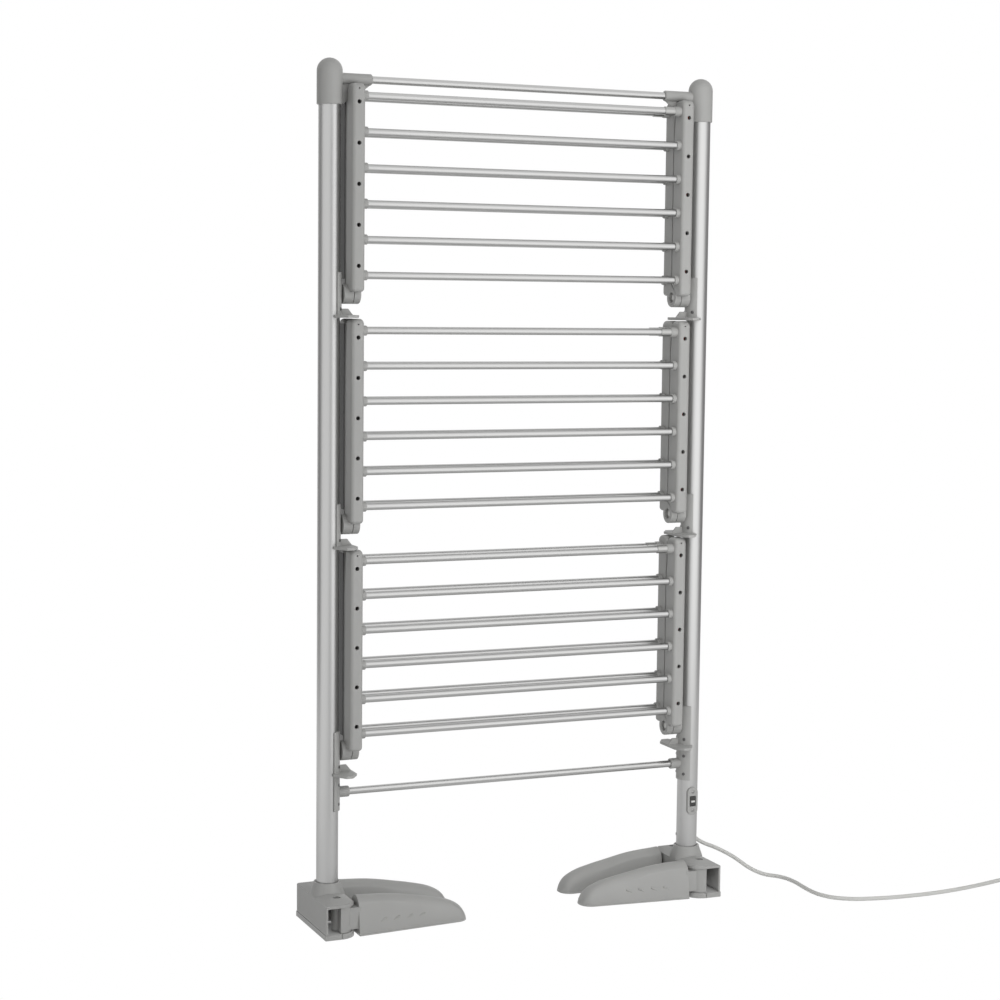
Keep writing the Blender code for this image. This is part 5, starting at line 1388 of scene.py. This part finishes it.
quarter = block((-LUG_RADIUS, -LUG_RADIUS, KNUCKLE_LOW), (0.001, 0.001, KNUCKLE_HIGH))
sector = keep_inside(cylinder("Z", LEG_KNUCKLE_RADIUS, LEG_KNUCKLE_ENDS, ORIGIN, 72), quarter)
neck = block(
    (-LEG_ROOT_X - NECK_SET_IN, -NECK_WIDTH, KNUCKLE_LOW + NECK_SET_IN),
    (-LEG_KNUCKLE_RADIUS / 2, 0, KNUCKLE_HIGH - NECK_SET_IN),
)
hub = cylinder("Z", HUB_RADIUS, LEG_KNUCKLE_ENDS, ORIGIN, 40)
unite(soften(sector, 0.0007, 2, 40), neck, hub)
unite(beam, sector)
cut(beam, cylinder("Z", PIN_BORE, (0, 0.063), ORIGIN, 32))
strokes = []
for share in STROKE_SHARES:
    widths, heights = np.array(half_section(share)).T
    side_y = -float(np.interp(STROKE_HEIGHT, heights, widths)) + NOSE_DRIFT * share
    bar = cylinder("X", STROKE_RADIUS, (-STROKE_LENGTH / 2, STROKE_LENGTH / 2), ORIGIN, 16)
    soften(bar, 0.0009, 3, 40)
    place = Matrix.Translation((-LEG_ROOT_X - share * LEG_LENGTH, side_y + 0.0003, STROKE_HEIGHT))
    bar.matrix_world = place @ Matrix.Rotation(STROKE_TILT, 4, "Y")
    strokes.append(settle(bar))
unite(beam, *strokes)

for face, flip_y in (("front", False), ("back", True)):
    for side, flip_x in SIDES:
        pivot = (-POST_X if flip_x else POST_X, PIVOT_Y if flip_y else -PIVOT_Y, 0)
        copy = copied(beam, mirror_matrix(flip_x, flip_y, pivot))
        name, node = f"{face}_leg_shell_{side}", f"leg_{face}_{side}"
        dress(copy, name, f"{face}_{side}_leg", "grey_moulding", node)
bpy.data.objects.remove(beam)
print("legs:", len(copy.data.polygons), "faces each")

# %% [markdown]
# ## The switch
# The switch plate is a stadium shape that hugs the post. It is drawn, pushed out and rounded, and the
# post's own cylinder is cut from its back. Two cross-head screws and a dark rocker with a ridge complete
# it. A pale bar across the rocker's ridge is a painted highlight.

# %% Switch plate
PLATE_HALF_WIDTH, PLATE_HALF_HEIGHT, PLATE_DEPTH = 0.010, 0.025, 0.0087
PLATE_FACE_Y = -0.0217
PLATE_SCREW_RISE, PLATE_RECESS_RADIUS, PLATE_RECESS_DEPTH = 0.0166, 0.0031, 0.0009
BODY_HALF_WIDTH, BODY_HALF_HEIGHT, BODY_BACK_Y = 0.0075, 0.0125, 0.00215
ROCKER_Y = -0.0194
ROCKER_RADIUS, ROCKER_WIDTH, ROCKER_GAP = 0.0089, 0.0116, 0.0004


def around_switch(half_width, half_height, near_y, far_y):
    """A block round the switch's middle, from near_y to far_y."""
    low = (POST_X - half_width, near_y, SWITCH_Z - half_height)
    return block(low, (POST_X + half_width, far_y, SWITCH_Z + half_height))


straight = PLATE_HALF_HEIGHT - PLATE_HALF_WIDTH
stadium = [
    *arc((POST_X, SWITCH_Z + straight), PLATE_HALF_WIDTH, 0, math.pi, 18),
    *arc((POST_X, SWITCH_Z - straight), PLATE_HALF_WIDTH, math.pi, math.tau, 18),
]
housing = plate("Y", stadium, (PLATE_FACE_Y, PLATE_FACE_Y + PLATE_DEPTH))
round_edges(housing, 0.0009, 3, lambda a, b: both_at(a, b, "y", PLATE_FACE_Y))
cut(housing, cylinder("Z", POST_FIT, (SWITCH_Z - 0.05, SWITCH_Z + 0.05), POST_AXIS, POST_SIDES))
unite(housing, around_switch(BODY_HALF_WIDTH, BODY_HALF_HEIGHT, PLATE_FACE_Y + 0.002, BODY_BACK_Y))
half_width, half_height = ROCKER_WIDTH / 2 + ROCKER_GAP, ROCKER_RADIUS + ROCKER_GAP
cut(housing, around_switch(half_width, half_height, PLATE_FACE_Y - PAST, ROCKER_Y))
across = (POST_X - half_width, POST_X + half_width)
cut(housing, cylinder("X", half_height, across, (0, ROCKER_Y, SWITCH_Z), 64))
heads = []
turn = Matrix.Rotation(-math.pi / 2, 4, "Z") @ Matrix.Rotation(math.radians(25), 4, "X")
for screw_z in (SWITCH_Z + PLATE_SCREW_RISE, SWITCH_Z - PLATE_SCREW_RISE):
    recess = (PLATE_FACE_Y - 0.001, PLATE_FACE_Y + PLATE_RECESS_DEPTH)
    cut(housing, cylinder("Y", PLATE_RECESS_RADIUS, recess, (POST_X, 0, screw_z), 32))
    heads.append(copied(screw, Matrix.Translation((POST_X, PLATE_FACE_Y + 0.0008, screw_z)) @ turn))
dress(housing, "switch_plate", "frame", "bracket_moulding", "switch_housing")
dress(joined(heads), "switch_plate_screws", "frame", "pin_steel")
print("switch plate:", len(housing.data.polygons), "faces")

# %% Rocker
REST_TILT = math.radians(7)
FACE_INSET, RIDGE_RISE = 0.0023, 0.0009
HIGHLIGHT_BAR_WIDTH, HIGHLIGHT_BAR_HEIGHT, HIGHLIGHT_BAR_RISE = 0.0078, 0.0034, 0.0004
end_angle = math.asin(FACE_INSET / ROCKER_RADIUS)
ridge_y = -FACE_INSET - RIDGE_RISE
back = arc((0, 0), ROCKER_RADIUS, math.pi / 2 + end_angle, -math.pi / 2 - end_angle, 28)
rocker = plate("X", [*back, (ridge_y, 0)], (-ROCKER_WIDTH / 2, ROCKER_WIDTH / 2))
soften(rocker, 0.0004, 3, 6)
# The pale bar on the ridge is a painted highlight, where the glossy rocker catches the light
lens = block(
    (-HIGHLIGHT_BAR_WIDTH / 2, ridge_y - HIGHLIGHT_BAR_RISE, -HIGHLIGHT_BAR_HEIGHT / 2),
    (HIGHLIGHT_BAR_WIDTH / 2, ridge_y + 0.002, HIGHLIGHT_BAR_HEIGHT / 2),
)
soften(lens, 0.0005, 3, 40)
rest_place = Matrix.Translation((POST_X, ROCKER_Y, SWITCH_Z)) @ Matrix.Rotation(REST_TILT, 4, "X")
for piece in (rocker, lens):
    piece.matrix_world = rest_place
    settle(piece)
dress(rocker, "rocker_key", "rocker", "rocker_plastic", "switch_rocker")
dress(lens, "rocker_lens", "rocker", "lens_plastic")
print("rocker:", len(rocker.data.polygons), "faces")

# %% [markdown]
# Low on the post, a small round-headed screw clamps the wiring inside.

# %% Clamp screw on the post
CLAMP_Z, CLAMP_Y = 0.0964, 0.0078
clamp_angle = math.pi - math.asin(CLAMP_Y / POST_RADIUS)
place = Matrix.Translation((POST_X, 0, CLAMP_Z)) @ Matrix.Rotation(clamp_angle, 4, "Z")
clamp = copied(screw, place @ Matrix.Translation((POST_RADIUS - SUNK, 0, 0)))
dress(clamp, "clamp_screw", "frame", "pin_steel")
bpy.data.objects.remove(screw)

# %% [markdown]
# ## Strain relief and plug
# The lead leaves the post through a tapered rubber sleeve. Rings along its tail let it bend evenly, so
# they are drawn into the half section before it is spun. The plug lies at the far end of the coil.

# %% Strain relief
BUSH_START, BUSH_LENGTH, BUSH_RINGS = 0.01835, 0.0216, 6
BUSH_NECK_RADIUS, BUSH_BACK = 0.005, 0.013
RING_RADIUS, RING_TAPER, RING_GROOVE = 0.0055, 0.0009, 0.0007
tail_start, tail_end = BUSH_START + 0.002, BUSH_START + BUSH_LENGTH
profile = [
    (0, BUSH_BACK),
    (BUSH_NECK_RADIUS, BUSH_BACK),
    (BUSH_NECK_RADIUS, BUSH_START),
    (0.0074, BUSH_START),
    (0.008, BUSH_START + 0.0006),
    (0.008, BUSH_START + 0.0014),
    (0.0074, tail_start),
]
pitch = (tail_end - tail_start) / BUSH_RINGS
for ring in range(BUSH_RINGS):
    start = tail_start + ring * pitch
    radius = RING_RADIUS - RING_TAPER * ring / (BUSH_RINGS - 1)
    profile += [(radius - RING_GROOVE, start), (radius - RING_GROOVE, start + pitch * 0.35)]
    profile += [(radius, start + pitch * 0.5), (radius, start + pitch * 0.9)]
profile += [(0.0042, tail_end), (0, tail_end)]
bush = turned("Y", profile, ORIGIN, 40)
bush.matrix_world = exit_place
settle(bush)
dress(bush, "cord_sleeve", "frame", "sleeve_rubber", "cord_strain_relief")
print("strain relief:", len(bush.data.polygons), "faces")

# %% Plug
PLUG_LENGTH, PLUG_WIDTH, PLUG_THICKNESS = 0.046, 0.050, 0.022
PLUG_GAP = 0.0003
GRIP_LENGTH, GRIP_RADIUS, GRIP_PITCH = 0.018, 0.0055, 0.0034
BLADE_SPREAD = 0.0111
LINE_BLADE, EARTH_BLADE = (0.004, 0.0063, 0.0177), (0.008, 0.004, 0.0227)
grip_start = cord_end.x + PLUG_GAP
body_start = grip_start + GRIP_LENGTH
low_y, high_y = cord_end.y - PLUG_WIDTH / 2, cord_end.y + PLUG_WIDTH / 2
plug = block((body_start, low_y, 0), (body_start + PLUG_LENGTH, high_y, PLUG_THICKNESS))
round_edges(plug, 0.009, 8, lambda a, b: not same(a.z, b.z))
round_edges(plug, 0.003, 4, lambda a, b: same(a.z, b.z))
grip_profile = [(0, 0), (0.0045, 0)]
for ring in range(5):
    start = ring * GRIP_PITCH
    grip_profile += [(0.0048, start + 0.0006), (0.0048 + 0.0001 * ring, start + 0.001)]
    grip_profile += [(GRIP_RADIUS, start + 0.0014), (GRIP_RADIUS, start + 0.0032)]
grip_profile += [(GRIP_RADIUS, GRIP_LENGTH + 0.009), (0, GRIP_LENGTH + 0.009)]
unite(plug, turned("X", grip_profile, (grip_start, cord_end.y, cord_end.z), 32))
dress(plug, "plug_body", "frame", "cable_sheath", "plug")

line_x = body_start + PLUG_LENGTH / 2 - BLADE_SPREAD
blades = []
for x, y, (across_x, across_y, length) in (
    (line_x, -BLADE_SPREAD, LINE_BLADE),
    (line_x, BLADE_SPREAD, LINE_BLADE),
    (line_x + 2 * BLADE_SPREAD, 0, EARTH_BLADE),
):
    low = (x - across_x / 2, cord_end.y + y - across_y / 2, PLUG_THICKNESS - 0.004)
    high = (x + across_x / 2, cord_end.y + y + across_y / 2, PLUG_THICKNESS + length)
    blades.append(soften(block(low, high), 0.0006, 2, 40))
plug_blades = joined(blades)
dress(plug_blades, "plug_blades", "frame", "blade_brass", "plug")
print("plug: body and three blades")

# %% The lead gets its finish and rides on the frame
cord_curve.materials.append(bpy.data.materials["cable_sheath"])
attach(mains_lead, "frame")
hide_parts("supply_cord", "supply_cord_coil")

low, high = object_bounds()
